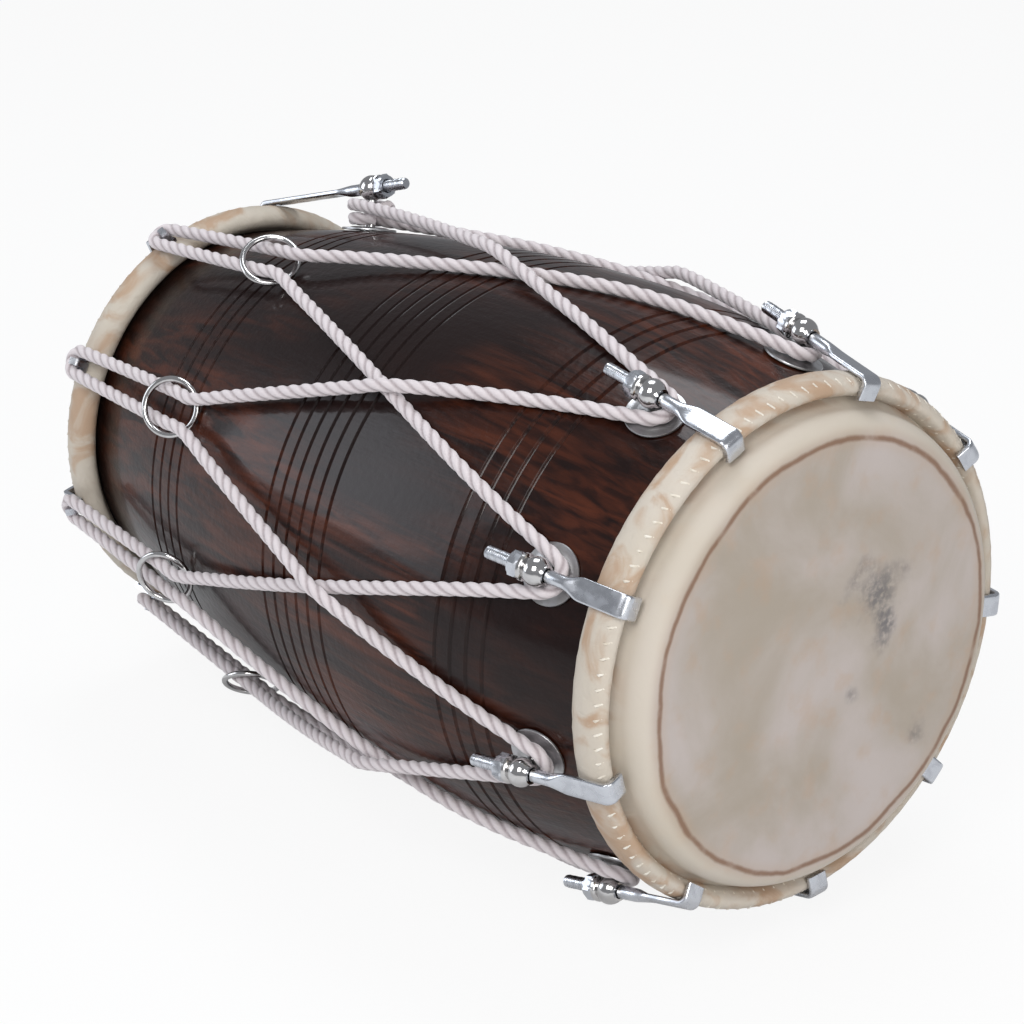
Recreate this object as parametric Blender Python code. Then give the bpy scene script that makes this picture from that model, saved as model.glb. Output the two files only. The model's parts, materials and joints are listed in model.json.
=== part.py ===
"""A dholak: a two-headed barrel drum with bolt and rope tuning, lying on its side.

Everything is laid out in the drum's own frame. X is the axis of the barrel, with the bass face at
x = 0 and the treble face at negative x. A station is an angle round the axis, measured from +Z
towards -Y. Each station carries one tuning hook at the bass end and one rope clip at the treble
end; at station 1 the treble end has an anchor hook in place of the clip, where the rope is tied.
"""

import math

import bmesh
import bpy
from mathutils import Matrix, Vector

MM = 0.001

# Barrel shell
BODY_LENGTH = 444 * MM
BELLY_RADIUS = 130.5 * MM
BELLY_FROM_BASS = 150 * MM
BASS_MOUTH_RADIUS = 103.5 * MM
TREBLE_MOUTH_RADIUS = 89 * MM
SHELL_WALL = 13 * MM
EDGE_DEPTH = 12 * MM
EDGE_WIDTH = 9 * MM
GROOVE_PITCH = 9.2 * MM
GROOVE_WIDTH = 2.4 * MM
GROOVE_DEPTH = 1.1 * MM
GROOVE_BANDS = ((95 * MM, 4), (213 * MM, 6), (334 * MM, 4))

# Heads: one hide each, lapped round its hoop
SKIN = 1.2 * MM
BASS_HOOP_RADIUS = 122.7 * MM
BASS_HOOP_SET_BACK = 19.5 * MM
BASS_HOOP_WIDTH = 20 * MM
BASS_HOOP_THICKNESS = 10.4 * MM
TREBLE_HOOP_RADIUS = 108 * MM
TREBLE_HOOP_SET_BACK = 19.2 * MM
TREBLE_HOOP_WIDTH = 19 * MM
TREBLE_HOOP_THICKNESS = 11.6 * MM

# Stations
STATIONS = 9
FIRST_STATION_DEG = -15.0

# Tuning hardware
ROD = 6 * MM
ROD_PAST_EYE = 26.3 * MM
STRAP_WIDTH = 10.5 * MM
STRAP_THICKNESS = 2.6 * MM
STRAP_STARTS = 15 * MM
STRAP_TAPER = 9 * MM
BEND_RADIUS = 3.3 * MM
CLAW_LENGTH = 9.5 * MM
EYE_BALL = 13.2 * MM
EYE_LENGTH = 11.2 * MM
EYE_COLLAR = 12.4 * MM
EYE_COLLAR_THICKNESS = 1.2 * MM
EYE_HEIGHT = 12.8 * MM
EYE_FROM_BASS = 54.4 * MM
POST = 6 * MM
NUT_ACROSS_FLATS = 11 * MM
NUT_THICKNESS = 5 * MM
INNER_NUT_THICKNESS = 4.5 * MM
INNER_NUT_CLEARANCE = 0.8 * MM
CUP_WASHER = 27.5 * MM
CUP_WASHER_HEIGHT = 1.7 * MM
CUP_WASHER_RIM = 0.9 * MM
CUP_WASHER_FLAT = 18 * MM
ANCHOR_FROM_TREBLE = 91 * MM
ANCHOR_EYE_HEIGHT = 21.5 * MM
ANCHOR_ROD_PAST_EYE = 26.3 * MM

# Rope, its clips and its slide rings
ROPE = 6.5 * MM
ROPE_SPACING = 30 * MM
CLIP_WIDTH = 9 * MM
CLIP_THICKNESS = 2 * MM
CLIP_LEG = 12.5 * MM
CLIP_CLAW = 12 * MM
CLIP_TONGUE_WIDTH = 3.5 * MM
CLIP_TONGUE_HEIGHT = 8.2 * MM
RING_WIRE = 3 * MM
RING_OUTSIDE = 30 * MM
RING_TILT_DEG = 29.0
RING_STEPS = 14
RING_FROM_BASS = 325 * MM
ROPE_GAP = 0.5 * MM
LOOP_SLACK = 1.9 * MM
BIGHT_SLACK = 0.9 * MM
UPPER_LOOP_SLACK = 0.9 * MM

# Clearances and facets
GAP = 0.3 * MM
STRAP_GAP = 0.4 * MM
BORE_CLEARANCE = 0.3 * MM
ROUND_STEPS = 36
ROD_STEPS = 8

# How the drum settles on its side: on a hook's tip, a slide ring and the rope
REST_ROLL_DEG = -2.03
REST_PITCH_DEG = -1.36


# Materials
def material(name, colour, roughness, metallic=0.0):
    """A plain Principled finish."""
    made = bpy.data.materials.new(name)
    made.use_nodes = True
    shader = made.node_tree.nodes["Principled BSDF"]
    shader.inputs["Base Color"].default_value = (*colour, 1.0)
    shader.inputs["Roughness"].default_value = roughness
    shader.inputs["Metallic"].default_value = metallic
    return made


# Mesh helpers
def object_from(name, bm, finish):
    """A smooth-shaded object that holds the given mesh, linked to the scene."""
    bmesh.ops.recalc_face_normals(bm, faces=bm.faces)
    mesh = bpy.data.meshes.new(name)
    bm.to_mesh(mesh)
    bm.free()
    mesh.materials.append(finish)
    mesh.shade_smooth()
    mesh.set_sharp_from_angle(angle=math.radians(35))
    made = bpy.data.objects.new(name, mesh)
    bpy.context.scene.collection.objects.link(made)
    return made


def copy_of(original, name):
    """Another object that shares the original's mesh."""
    made = bpy.data.objects.new(name, original.data)
    bpy.context.scene.collection.objects.link(made)
    return made


def turned(profile, steps, closed):
    """Revolve (axial, radius) points round X. A radius of 0 becomes a single pole."""
    bm = bmesh.new()
    rings = []
    for axial, radius in profile:
        if radius < 1e-7:
            rings.append([bm.verts.new((axial, 0, 0))] * steps)
            continue
        ring = []
        for i in range(steps):
            angle = 2 * math.pi * i / steps
            ring.append(bm.verts.new((axial, -radius * math.sin(angle), radius * math.cos(angle))))
        rings.append(ring)
    pairs = list(zip(rings, rings[1:]))
    if closed:
        pairs.append((rings[-1], rings[0]))
    for first, second in pairs:
        for i in range(steps):
            j = (i + 1) % steps
            corners = []
            for vert in (first[i], first[j], second[j], second[i]):
                if vert not in corners:
                    corners.append(vert)
            if len(corners) > 2:
                bm.faces.new(corners)
    return bm


def lofted(rings):
    """Skin a run of equal rings and cap both ends."""
    bm = bmesh.new()
    verts = [[bm.verts.new(point) for point in ring] for ring in rings]
    count = len(verts[0])
    for first, second in zip(verts, verts[1:]):
        for i in range(count):
            j = (i + 1) % count
            bm.faces.new((first[i], first[j], second[j], second[i]))
    bm.faces.new(verts[0])
    bm.faces.new(list(reversed(verts[-1])))
    return bm


def prism(outline, half_width):
    """Extrude an (x, z) outline to both sides of the XZ plane."""
    return lofted([[Vector((x, side * half_width, z)) for x, z in outline] for side in (-1, 1)])


def polygon_ring(radius, steps, z, start=0.0):
    """Points of a regular polygon in a plane of constant z."""
    points = []
    for i in range(steps):
        angle = start + 2 * math.pi * i / steps
        points.append(Vector((radius * math.cos(angle), radius * math.sin(angle), z)))
    return points


def around(inside_radius, steps):
    """Corner radius of a polygon whose flats touch a circle."""
    return inside_radius / math.cos(math.pi / steps)


def combined(target, tool, operation):
    """Join or cut with an exact Boolean, apply it and delete the tool."""
    modifier = target.modifiers.new("combine", "BOOLEAN")
    modifier.operation = operation
    modifier.solver = "EXACT"
    modifier.object = tool
    bpy.context.view_layer.update()
    evaluated = target.evaluated_get(bpy.context.evaluated_depsgraph_get())
    mesh = bpy.data.meshes.new_from_object(evaluated)
    target.modifiers.clear()
    target.data = mesh
    bpy.data.objects.remove(tool)


def joined(base, extra):
    """Put the geometry of one bmesh into another."""
    carrier = bpy.data.meshes.new("carrier")
    extra.to_mesh(carrier)
    extra.free()
    base.from_mesh(carrier)
    bpy.data.meshes.remove(carrier)
    return base


# Barrel geometry
def shell_radius(x):
    """Outer radius of the barrel: one parabola from the belly to each mouth."""
    belly_x = -BELLY_FROM_BASS
    if x >= belly_x:
        mouth_x, mouth_radius = 0.0, BASS_MOUTH_RADIUS
    else:
        mouth_x, mouth_radius = -BODY_LENGTH, TREBLE_MOUTH_RADIUS
    share = (x - belly_x) / (mouth_x - belly_x)
    return BELLY_RADIUS - (BELLY_RADIUS - mouth_radius) * share * share


def shell_slope(x):
    """Rise of the outer radius per unit of x."""
    step = 0.5 * MM
    return (shell_radius(x + step) - shell_radius(x - step)) / (2 * step)


def mouth_curve(face_x, inward, offset, steps=3):
    """Rounded bearing edge of a mouth, from its crest to the barrel, offset outwards.

    inward is -1 at the bass end and +1 at the treble end: the way into the drum along X.
    """
    crest = shell_radius(face_x + inward * EDGE_DEPTH) - EDGE_WIDTH
    points = []
    for i in range(steps + 1):
        angle = math.pi / 2 * i / steps
        depth = (EDGE_DEPTH + offset) * (1 - math.cos(angle)) - offset
        points.append((face_x + inward * depth, crest + (EDGE_WIDTH + offset) * math.sin(angle)))
    return points


def station_angle(index):
    """Angle of a station round the axis, in radians."""
    return math.radians(FIRST_STATION_DEG) + 2 * math.pi * index / STATIONS


def radial(angle):
    """Unit vector away from the axis at a station angle."""
    return Vector((0, -math.sin(angle), math.cos(angle)))


def tangential(angle):
    """Unit vector round the axis at a station angle, the way that the angle grows."""
    return Vector((0, -math.cos(angle), -math.sin(angle)))


def on_axis_plane(x, radius, angle):
    """Point at a distance from the axis."""
    return Vector((x, 0, 0)) + radial(angle) * radius


def frame_of(x_axis, y_axis, z_axis, origin):
    """Matrix from three unit vectors and an origin."""
    made = Matrix.Identity(4)
    for column, axis in enumerate((x_axis, y_axis, z_axis)):
        for row in range(3):
            made[row][column] = axis[row]
    made.translation = origin
    return made


def surface_frame(x, angle):
    """Frame on the barrel: X along the surface to the bass end, Y tangential, Z outwards."""
    slope = math.atan(shell_slope(x))
    along = Vector((math.cos(slope), 0, 0)) + radial(angle) * math.sin(slope)
    across = -tangential(angle)
    outwards = Vector((-math.sin(slope), 0, 0)) + radial(angle) * math.cos(slope)
    return frame_of(along, across, outwards, on_axis_plane(x, shell_radius(x), angle))


# Heads and hoops
class Hoop:
    """Oval roll of hide round a hoop at one end of the drum."""

    def __init__(self, face_x, inward, radius, set_back, width, thickness):
        self.face_x = face_x
        self.inward = inward
        self.outer = radius
        self.x = face_x + inward * set_back
        self.half_width = width / 2
        self.half_thickness = thickness / 2
        self.middle = radius - self.half_thickness

    def point(self, degrees):
        """Point of the section; 0 degrees faces out of the drum, 90 away from the axis."""
        angle = math.radians(degrees)
        x = self.x - self.inward * self.half_width * math.cos(angle)
        return x, self.middle + self.half_thickness * math.sin(angle)

    def reach(self, direction_x, direction_r):
        """Furthest that the section reaches along a direction in the (x, radius) plane."""
        wide = self.half_width * direction_x
        thick = self.half_thickness * direction_r
        return direction_x * self.x + direction_r * self.middle + math.hypot(wide, thick)


BASS_HOOP = Hoop(
    0.0, -1, BASS_HOOP_RADIUS, BASS_HOOP_SET_BACK, BASS_HOOP_WIDTH, BASS_HOOP_THICKNESS
)
TREBLE_HOOP = Hoop(
    -BODY_LENGTH, 1, TREBLE_HOOP_RADIUS, TREBLE_HOOP_SET_BACK, TREBLE_HOOP_WIDTH, TREBLE_HOOP_THICKNESS
)


def head(name, hoop, finish):
    """One hide: flat face, rounded edge, lap round the hoop and back under it."""
    outside = mouth_curve(hoop.face_x, hoop.inward, GAP + SKIN)
    inside = mouth_curve(hoop.face_x, hoop.inward, GAP)
    foot_x = hoop.x + hoop.inward * 0.25 * hoop.half_width
    foot = (foot_x, shell_radius(foot_x) + 1.6 * GAP)
    profile = [(outside[0][0], 0.0)] + outside
    profile += [hoop.point(degrees) for degrees in (-78, -45, 0, 45, 90, 135, 180, 225, 250)]
    profile += [foot] + inside[::-1] + [(inside[0][0], 0.0)]
    return object_from(name, turned(profile, ROUND_STEPS, closed=False), finish)


# Shell
def groove_edges():
    """Middle of every turned groove, from the bass end to the treble end."""
    places = []
    for middle, count in GROOVE_BANDS:
        for i in range(count):
            places.append(-(middle + (i - (count - 1) / 2) * GROOVE_PITCH))
    return places


def shell_outline():
    """Closed section of the hollow log in (x, radius)."""
    outer = mouth_curve(0.0, -1, 0.0)
    grooves = groove_edges()
    plain = [-30 * MM, -60 * MM, -BELLY_FROM_BASS, -265 * MM, -290 * MM, -375 * MM, -405 * MM]
    marks = [(x, "plain") for x in plain] + [(x, "groove") for x in grooves]
    for x, kind in sorted(marks, reverse=True):
        if kind == "plain":
            outer.append((x, shell_radius(x)))
            continue
        for shift, depth in ((0.5, 0.0), (0.0, GROOVE_DEPTH), (-0.5, 0.0)):
            place = x + shift * GROOVE_WIDTH
            outer.append((place, shell_radius(place) - depth))
    outer += mouth_curve(-BODY_LENGTH, 1, 0.0)[::-1]
    inner = []
    steps = 8
    inset = EDGE_DEPTH / 4
    for i in range(steps + 1):
        x = -BODY_LENGTH + inset + (BODY_LENGTH - 2 * inset) * i / steps
        inner.append((x, shell_radius(x) - SHELL_WALL))
    return outer + inner


def shell(finish):
    """Hollow barrel with turned grooves and a hole for each eye bolt."""
    body = object_from("shell", turned(shell_outline(), ROUND_STEPS, closed=True), finish)
    body.matrix_world = Matrix.Rotation(math.radians(FIRST_STATION_DEG), 4, "X")
    bores = bmesh.new()
    radius = around(POST / 2 + BORE_CLEARANCE, ROD_STEPS)
    for eye in EYES:
        rings = [polygon_ring(radius, ROD_STEPS, z) for z in (-2 * SHELL_WALL, SHELL_WALL)]
        placed = [[eye.base @ point for point in ring] for ring in rings]
        bores = joined(bores, lofted(placed))
    cutter = object_from("post_bores", bores, finish)
    cutter.hide_render = True
    cutter.display_type = "WIRE"
    combined(body, cutter, "DIFFERENCE")
    return body


# Eye bolts, hooks, nuts and washers
class Eye:
    """Place of one eye bolt, and the line of the hook that runs through it."""

    def __init__(self, hoop, x, angle, height, past_eye):
        self.hoop = hoop
        self.x = x
        self.angle = angle
        self.height = height
        self.past_eye = past_eye
        self.base = surface_frame(x, angle)
        slope = math.atan(shell_slope(x))
        self.centre_x = x - height * math.sin(slope)
        self.centre_r = shell_radius(x) + height * math.cos(slope)
        self.tilt = self.hook_tilt()

    def directions(self, tilt):
        """(x, radius) parts of the way to the head and of the way off the drum."""
        outward = -self.hoop.inward
        to_head = (outward * math.cos(tilt), -math.sin(tilt))
        off_drum = (outward * math.sin(tilt), math.cos(tilt))
        return to_head, off_drum

    def hook_tilt(self):
        """Angle between rod and drum axis that lays the strap on the hoop."""
        low, high = 0.0, math.radians(40)
        for _ in range(50):
            tilt = (low + high) / 2
            off_drum = self.directions(tilt)[1]
            under = off_drum[0] * self.centre_x + off_drum[1] * self.centre_r
            under -= STRAP_THICKNESS / 2 + STRAP_GAP
            if under > self.hoop.reach(*off_drum):
                low = tilt
            else:
                high = tilt
        return low

    def frame(self):
        """Frame at the eye: Z along the rod to its threaded end, Y off the drum."""
        to_head, off_drum = self.directions(self.tilt)
        outwards = radial(self.angle)
        z_axis = -(Vector((to_head[0], 0, 0)) + outwards * to_head[1])
        y_axis = Vector((off_drum[0], 0, 0)) + outwards * off_drum[1]
        centre = on_axis_plane(self.centre_x, self.centre_r, self.angle)
        return frame_of(y_axis.cross(z_axis), y_axis, z_axis, centre)

    def claw_distance(self):
        """Distance from the eye to the middle of the claw, along the rod."""
        to_head = self.directions(self.tilt)[0]
        face = self.hoop.reach(*to_head)
        eye = to_head[0] * self.centre_x + to_head[1] * self.centre_r
        return face - eye + STRAP_GAP + STRAP_THICKNESS / 2


def bass_eye(index):
    """Eye bolt at the bass end of a station."""
    return Eye(BASS_HOOP, -EYE_FROM_BASS, station_angle(index), EYE_HEIGHT, ROD_PAST_EYE)


BASS_EYES = [bass_eye(index) for index in range(STATIONS)]
ANCHOR_EYE = Eye(
    TREBLE_HOOP,
    -BODY_LENGTH + ANCHOR_FROM_TREBLE,
    station_angle(0),
    ANCHOR_EYE_HEIGHT,
    ANCHOR_ROD_PAST_EYE,
)
EYES = BASS_EYES + [ANCHOR_EYE]


def rod_ring(radius, place, up, across):
    """Round section of the rod."""
    points = []
    for i in range(ROD_STEPS):
        angle = 2 * math.pi * (i + 0.5) / ROD_STEPS
        points.append(place + across * (radius * math.cos(angle)) + up * (radius * math.sin(angle)))
    return points


def strap_ring(place, up, across):
    """Flat section of the strap, with the same number of points as the rod's."""
    half_width, half_thickness = STRAP_WIDTH / 2, STRAP_THICKNESS / 2
    shoulder = half_width - 0.3 * STRAP_THICKNESS
    corners = [(half_width, 0.4 * half_thickness), (shoulder, half_thickness)]
    corners += [(-x, y) for x, y in reversed(corners)]
    corners += [(-x, -y) for x, y in corners]
    return [place + across * x + up * y for x, y in corners]


def hook(name, eye, finish):
    """Forged hook: threaded rod, flattened strap and a claw bent over the hoop."""
    across, up, back = Vector((1, 0, 0)), Vector((0, 1, 0)), Vector((0, 0, 1))
    claw = eye.claw_distance()
    chamfer = 0.8 * MM
    rings = [
        rod_ring(ROD / 2 - chamfer, back * eye.past_eye, up, across),
        rod_ring(ROD / 2, back * (eye.past_eye - chamfer), up, across),
        rod_ring(ROD / 2, back * -STRAP_STARTS, up, across),
        strap_ring(back * -(STRAP_STARTS + STRAP_TAPER), up, across),
    ]
    for degrees in (0, 45, 90):
        bend = math.radians(degrees)
        place = back * -(claw - BEND_RADIUS + BEND_RADIUS * math.sin(bend))
        place += up * (BEND_RADIUS * math.cos(bend) - BEND_RADIUS)
        rings.append(strap_ring(place, up * math.cos(bend) - back * math.sin(bend), across))
    rings.append(strap_ring(back * -claw - up * CLAW_LENGTH, -back, across))
    return object_from(name, lofted(rings), finish)


def hex_nut(name, finish):
    """Hexagon nut round the rod, ahead of the eye's collar."""
    start = EYE_LENGTH / 2 + EYE_COLLAR_THICKNESS + GAP
    corner = around(NUT_ACROSS_FLATS / 2, 6)
    bore = around(ROD / 2 + BORE_CLEARANCE, ROD_STEPS)
    end = start + NUT_THICKNESS
    made = object_from(name, lofted([polygon_ring(corner, 6, z) for z in (start, end)]), finish)
    half_step = math.pi / ROD_STEPS
    hole = [polygon_ring(bore, ROD_STEPS, z, half_step) for z in (start - ROD, end + ROD)]
    combined(made, object_from("nut_bore", lofted(hole), finish), "DIFFERENCE")
    return made


def eye_bolt(name, eye, finish):
    """Ball with a bore for the rod, on a post that passes the shell to a nut inside."""
    half = EYE_LENGTH / 2
    bore = around(ROD / 2 + BORE_CLEARANCE, ROD_STEPS)
    ball = EYE_BALL / 2
    flank = ball * 0.22
    profile = [
        (-half, bore),
        (-0.82 * half, 0.76 * ball),
        (-flank, ball),
        (flank, ball),
        (0.8 * half, 0.78 * ball),
        (0.86 * half, EYE_COLLAR / 2),
        (half + EYE_COLLAR_THICKNESS, EYE_COLLAR / 2),
        (half + EYE_COLLAR_THICKNESS, bore),
    ]
    bm = turned(profile, ROD_STEPS, closed=True)
    upright = Matrix.Rotation(-math.pi / 2, 4, "Y") @ Matrix.Rotation(math.pi / ROD_STEPS, 4, "X")
    bmesh.ops.transform(bm, matrix=upright, verts=bm.verts)
    made = object_from(name, bm, finish)
    to_base = eye.frame().inverted() @ eye.base
    wall = SHELL_WALL + INNER_NUT_CLEARANCE
    nut_corner = around(NUT_ACROSS_FLATS / 2, 6)
    top = eye.height - (bore + ball) / 2
    steps = (
        (POST / 2, top),
        (POST / 2, -wall),
        (nut_corner, -wall),
        (nut_corner, -wall - INNER_NUT_THICKNESS),
    )
    rings = [[to_base @ point for point in polygon_ring(radius, 6, z)] for radius, z in steps]
    combined(made, object_from("post", lofted(rings), finish), "UNION")
    return made


def cup_washer(name, finish):
    """Domed washer under the rope, turned about the post."""
    bore = around(POST / 2 + BORE_CLEARANCE, 12)
    profile = [
        (GAP, bore),
        (GAP + CUP_WASHER_HEIGHT, bore),
        (GAP + CUP_WASHER_HEIGHT, CUP_WASHER_FLAT / 2),
        (GAP + CUP_WASHER_RIM, CUP_WASHER / 2),
        (GAP, CUP_WASHER / 2),
    ]
    bm = turned(profile, 12, closed=True)
    bmesh.ops.transform(bm, matrix=Matrix.Rotation(-math.pi / 2, 4, "Y"), verts=bm.verts)
    return object_from(name, bm, finish)


# Treble rope clips and slide rings
CLIP_TOP = TREBLE_HOOP.outer + GAP + CLIP_THICKNESS
BIGHT_RADIUS = CLIP_TONGUE_WIDTH / 2 + BIGHT_SLACK + ROPE / 2
BIGHT_HEIGHT = CLIP_TOP + GAP + ROPE / 2
TONGUE_X = TREBLE_HOOP.x - TREBLE_HOOP.half_width - GAP + CLIP_LEG


def clip_frame(index):
    """Frame on the hoop: X to the bass end, Y tangential, Z away from the axis."""
    angle = station_angle(index)
    across = -tangential(angle)
    origin = Vector((TREBLE_HOOP.x, 0, 0))
    return frame_of(Vector((1, 0, 0)), across, radial(angle), origin)


def rope_clip(name, finish):
    """Bent strap: claw over the treble hoop, leg on the hoop and a tongue for the rope."""
    face = -(TREBLE_HOOP.half_width + GAP)
    back = face - CLIP_THICKNESS
    seat = TREBLE_HOOP.outer + GAP
    low = TREBLE_HOOP.middle - CLIP_CLAW / 4
    tongue = TONGUE_X - TREBLE_HOOP.x
    round_off = 0.6 * CLIP_THICKNESS
    outline = [
        (face, low),
        (back, low),
        (back, CLIP_TOP - round_off),
        (back + round_off, CLIP_TOP),
        (tongue + CLIP_THICKNESS / 2, CLIP_TOP),
        (tongue + CLIP_THICKNESS / 2, seat),
        (face, seat),
    ]
    made = object_from(name, prism(outline, CLIP_WIDTH / 2), finish)
    upright = [
        (tongue - CLIP_THICKNESS / 2, seat + GAP),
        (tongue + 0.4 * CLIP_THICKNESS, seat + GAP),
        (tongue + 0.4 * CLIP_THICKNESS, CLIP_TOP + CLIP_TONGUE_HEIGHT - round_off),
        (tongue - CLIP_THICKNESS, CLIP_TOP + CLIP_TONGUE_HEIGHT),
        (tongue - 1.2 * CLIP_THICKNESS, CLIP_TOP + CLIP_TONGUE_HEIGHT - CLIP_THICKNESS),
        (tongue - CLIP_THICKNESS / 2, CLIP_TOP + CLIP_TONGUE_HEIGHT - 2 * CLIP_THICKNESS),
    ]
    tool = object_from("tongue", prism(upright, CLIP_TONGUE_WIDTH / 2), finish)
    combined(made, tool, "UNION")
    return made


RING_MEAN = (RING_OUTSIDE - RING_WIRE) / 2
RING_X = -RING_FROM_BASS
STRAND_SIDE = RING_MEAN * math.cos(math.pi / RING_STEPS) - RING_WIRE / 2 - ROPE / 2 - 2 * GAP


def ring_height():
    """Distance from the axis to the ring's middle, with its low side on the barrel."""
    drop = RING_MEAN * math.sin(ring_lean())
    low_x = RING_X + RING_MEAN * math.cos(ring_lean())
    return shell_radius(low_x) + RING_WIRE / 2 + GAP + drop


def ring_lean():
    """Angle between the ring's plane and the drum's axis; the treble side is the high one."""
    return math.radians(RING_TILT_DEG)


def slide_ring(name, finish):
    """Round wire ring about Z."""
    bm = bmesh.new()
    around_steps, wire_steps = RING_STEPS, 6
    rings = []
    for i in range(around_steps):
        angle = 2 * math.pi * i / around_steps
        out = Vector((math.cos(angle), math.sin(angle), 0))
        ring = []
        for j in range(wire_steps):
            turn = 2 * math.pi * j / wire_steps
            point = out * (RING_MEAN + RING_WIRE / 2 * math.cos(turn))
            point.z = RING_WIRE / 2 * math.sin(turn)
            ring.append(bm.verts.new(point))
        rings.append(ring)
    for i, ring in enumerate(rings):
        following = rings[(i + 1) % around_steps]
        for j in range(wire_steps):
            k = (j + 1) % wire_steps
            bm.faces.new((ring[j], ring[k], following[k], following[j]))
    return object_from(name, bm, finish)


def ring_frame(index):
    """Place of a slide ring: its treble side lies over the strands, its bass side under."""
    lean, angle = ring_lean(), station_angle(index)
    outwards = radial(angle)
    x_axis = Vector((math.cos(lean), 0, 0)) - outwards * math.sin(lean)
    z_axis = Vector((math.sin(lean), 0, 0)) + outwards * math.cos(lean)
    origin = on_axis_plane(RING_X, ring_height(), angle)
    return frame_of(x_axis, z_axis.cross(x_axis), z_axis, origin)


# Lacing rope
ROPE_ON_SHELL = ROPE / 2 + GAP
ROPE_ON_WASHER = GAP + CUP_WASHER_HEIGHT + 2 * GAP + ROPE / 2
LOOP_RADIUS = POST / 2 + ROPE / 2 + LOOP_SLACK
STRAND_LIFT = ROPE + ROPE_GAP


def wrapped(frame, height, start, stop, steps, radius=LOOP_RADIUS):
    """Arc round a post; degrees are measured from the frame's X towards the next station."""
    points = []
    for i in range(steps + 1):
        angle = math.radians(start + (stop - start) * i / steps)
        place = Vector((radius * math.cos(angle), -radius * math.sin(angle), height))
        points.append(frame @ place)
    return points


def polar(point, near):
    """(x, radius, angle) of a point, with the angle close to a given one."""
    angle = math.atan2(-point.y, point.z)
    turns = round((near - angle) / (2 * math.pi))
    return point.x, math.hypot(point.y, point.z), angle + turns * 2 * math.pi


def taut(places, floors):
    """Heights of a tight line over the floors: their upper convex outline."""
    outline = []
    for place in zip(places, floors):
        while len(outline) > 1:
            (x1, y1), (x2, y2) = outline[-2], outline[-1]
            if (y2 - y1) * (place[0] - x1) > (place[1] - y1) * (x2 - x1):
                break
            outline.pop()
        outline.append(place)
    heights = []
    for x in places:
        for (x1, y1), (x2, y2) in zip(outline, outline[1:]):
            if x1 <= x <= x2:
                heights.append(y1 + (y2 - y1) * (x - x1) / (x2 - x1))
                break
    return heights


def strand(start, finish, over):
    """Points between two polar places, tight on the barrel and over or under its crossing."""
    steps = max(2, round(abs(finish[0] - start[0]) / ROPE_SPACING))
    shares = [i / steps for i in range(steps + 1)]
    middle_angle = (start[2] + finish[2]) / 2
    crossing = (crossing_angle(middle_angle) - start[2]) / (finish[2] - start[2])
    nearest = min(range(1, steps), key=lambda i: abs(shares[i] - crossing))
    shares[nearest] = crossing
    xs = [start[0] + (finish[0] - start[0]) * share for share in shares]
    floors = [shell_radius(x) + ROPE_ON_SHELL for x in xs]
    floors[0], floors[-1] = start[1], finish[1]
    if over:
        floors[nearest] += STRAND_LIFT
    if xs[0] > xs[-1]:
        heights = taut(xs[::-1], floors[::-1])[::-1]
    else:
        heights = taut(xs, floors)
    points = []
    for i in range(1, steps):
        angle = start[2] + (finish[2] - start[2]) * shares[i]
        points.append(on_axis_plane(xs[i], heights[i], angle))
    return points


def crossing_angle(angle):
    """Angle halfway between the two stations on either side."""
    pitch = 2 * math.pi / STATIONS
    first = station_angle(0)
    return first + (math.floor((angle - first) / pitch) + 0.5) * pitch


def ring_passage(index, side):
    """Two points of a strand at a slide ring: in its plane, then clear of its low side."""
    angle = station_angle(index)
    height = ring_height()
    slope = (height - BIGHT_HEIGHT) / (RING_X - TONGUE_X)
    clear = RING_MEAN * 1.15
    points = []
    for shift in (0.0, clear):
        radius = height + slope * shift
        turn = side * math.atan(STRAND_SIDE / radius)
        points.append(on_axis_plane(RING_X + shift, radius / math.cos(turn), angle + turn))
    return points


def eye_turn(index):
    """Half turn of the rope round a bass eye bolt."""
    frame = BASS_EYES[index % STATIONS].base
    return wrapped(frame, ROPE_ON_WASHER, -78, 78, 4)


def clip_turn(index):
    """Half turn of the rope round a clip's tongue."""
    frame = clip_frame(index) @ Matrix.Translation((TONGUE_X - TREBLE_HOOP.x, 0, BIGHT_HEIGHT))
    return wrapped(frame, 0.0, -90, -270, 4, BIGHT_RADIUS)


def rope_route():
    """The whole rope: twice round the drum, from the anchor bolt and back to it."""
    lower, upper = ROPE_ON_WASHER, ROPE_ON_WASHER + STRAND_LIFT
    route = wrapped(ANCHOR_EYE.base, upper, -20, -258, 6, LOOP_RADIUS + UPPER_LOOP_SLACK)
    turns = 2 * STATIONS
    for index in range(turns):
        over = index < STATIONS
        here, there = station_angle(index), station_angle(index + 1)
        if index % 2 == 0:
            following = eye_turn(index + 1)
            if index:
                route += ring_passage(index, 1)
        elif index + 1 < turns:
            following = ring_passage(index + 1, -1)[::-1] + clip_turn(index + 1)
        else:
            following = wrapped(ANCHOR_EYE.base, lower, -102, -340, 6)
        route += strand(polar(route[-1], here), polar(following[0], there), over)
        route += following
    return route


def lacing_rope(finish):
    """Tube along the rope's route."""
    curve = bpy.data.curves.new("lacing_rope", "CURVE")
    curve.dimensions = "3D"
    curve.bevel_depth = ROPE / 2
    curve.bevel_resolution = 2
    curve.use_fill_caps = True
    points = rope_route()
    spline = curve.splines.new("POLY")
    spline.points.add(len(points) - 1)
    for target, point in zip(spline.points, points):
        target.co = (*point, 1.0)
    curve.materials.append(finish)
    made = bpy.data.objects.new("lacing_rope", curve)
    bpy.context.scene.collection.objects.link(made)
    length = sum((b - a).length for a, b in zip(points, points[1:]))
    print(f"rope length {length:.3f} m in {len(points)} points")
    return made


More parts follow.
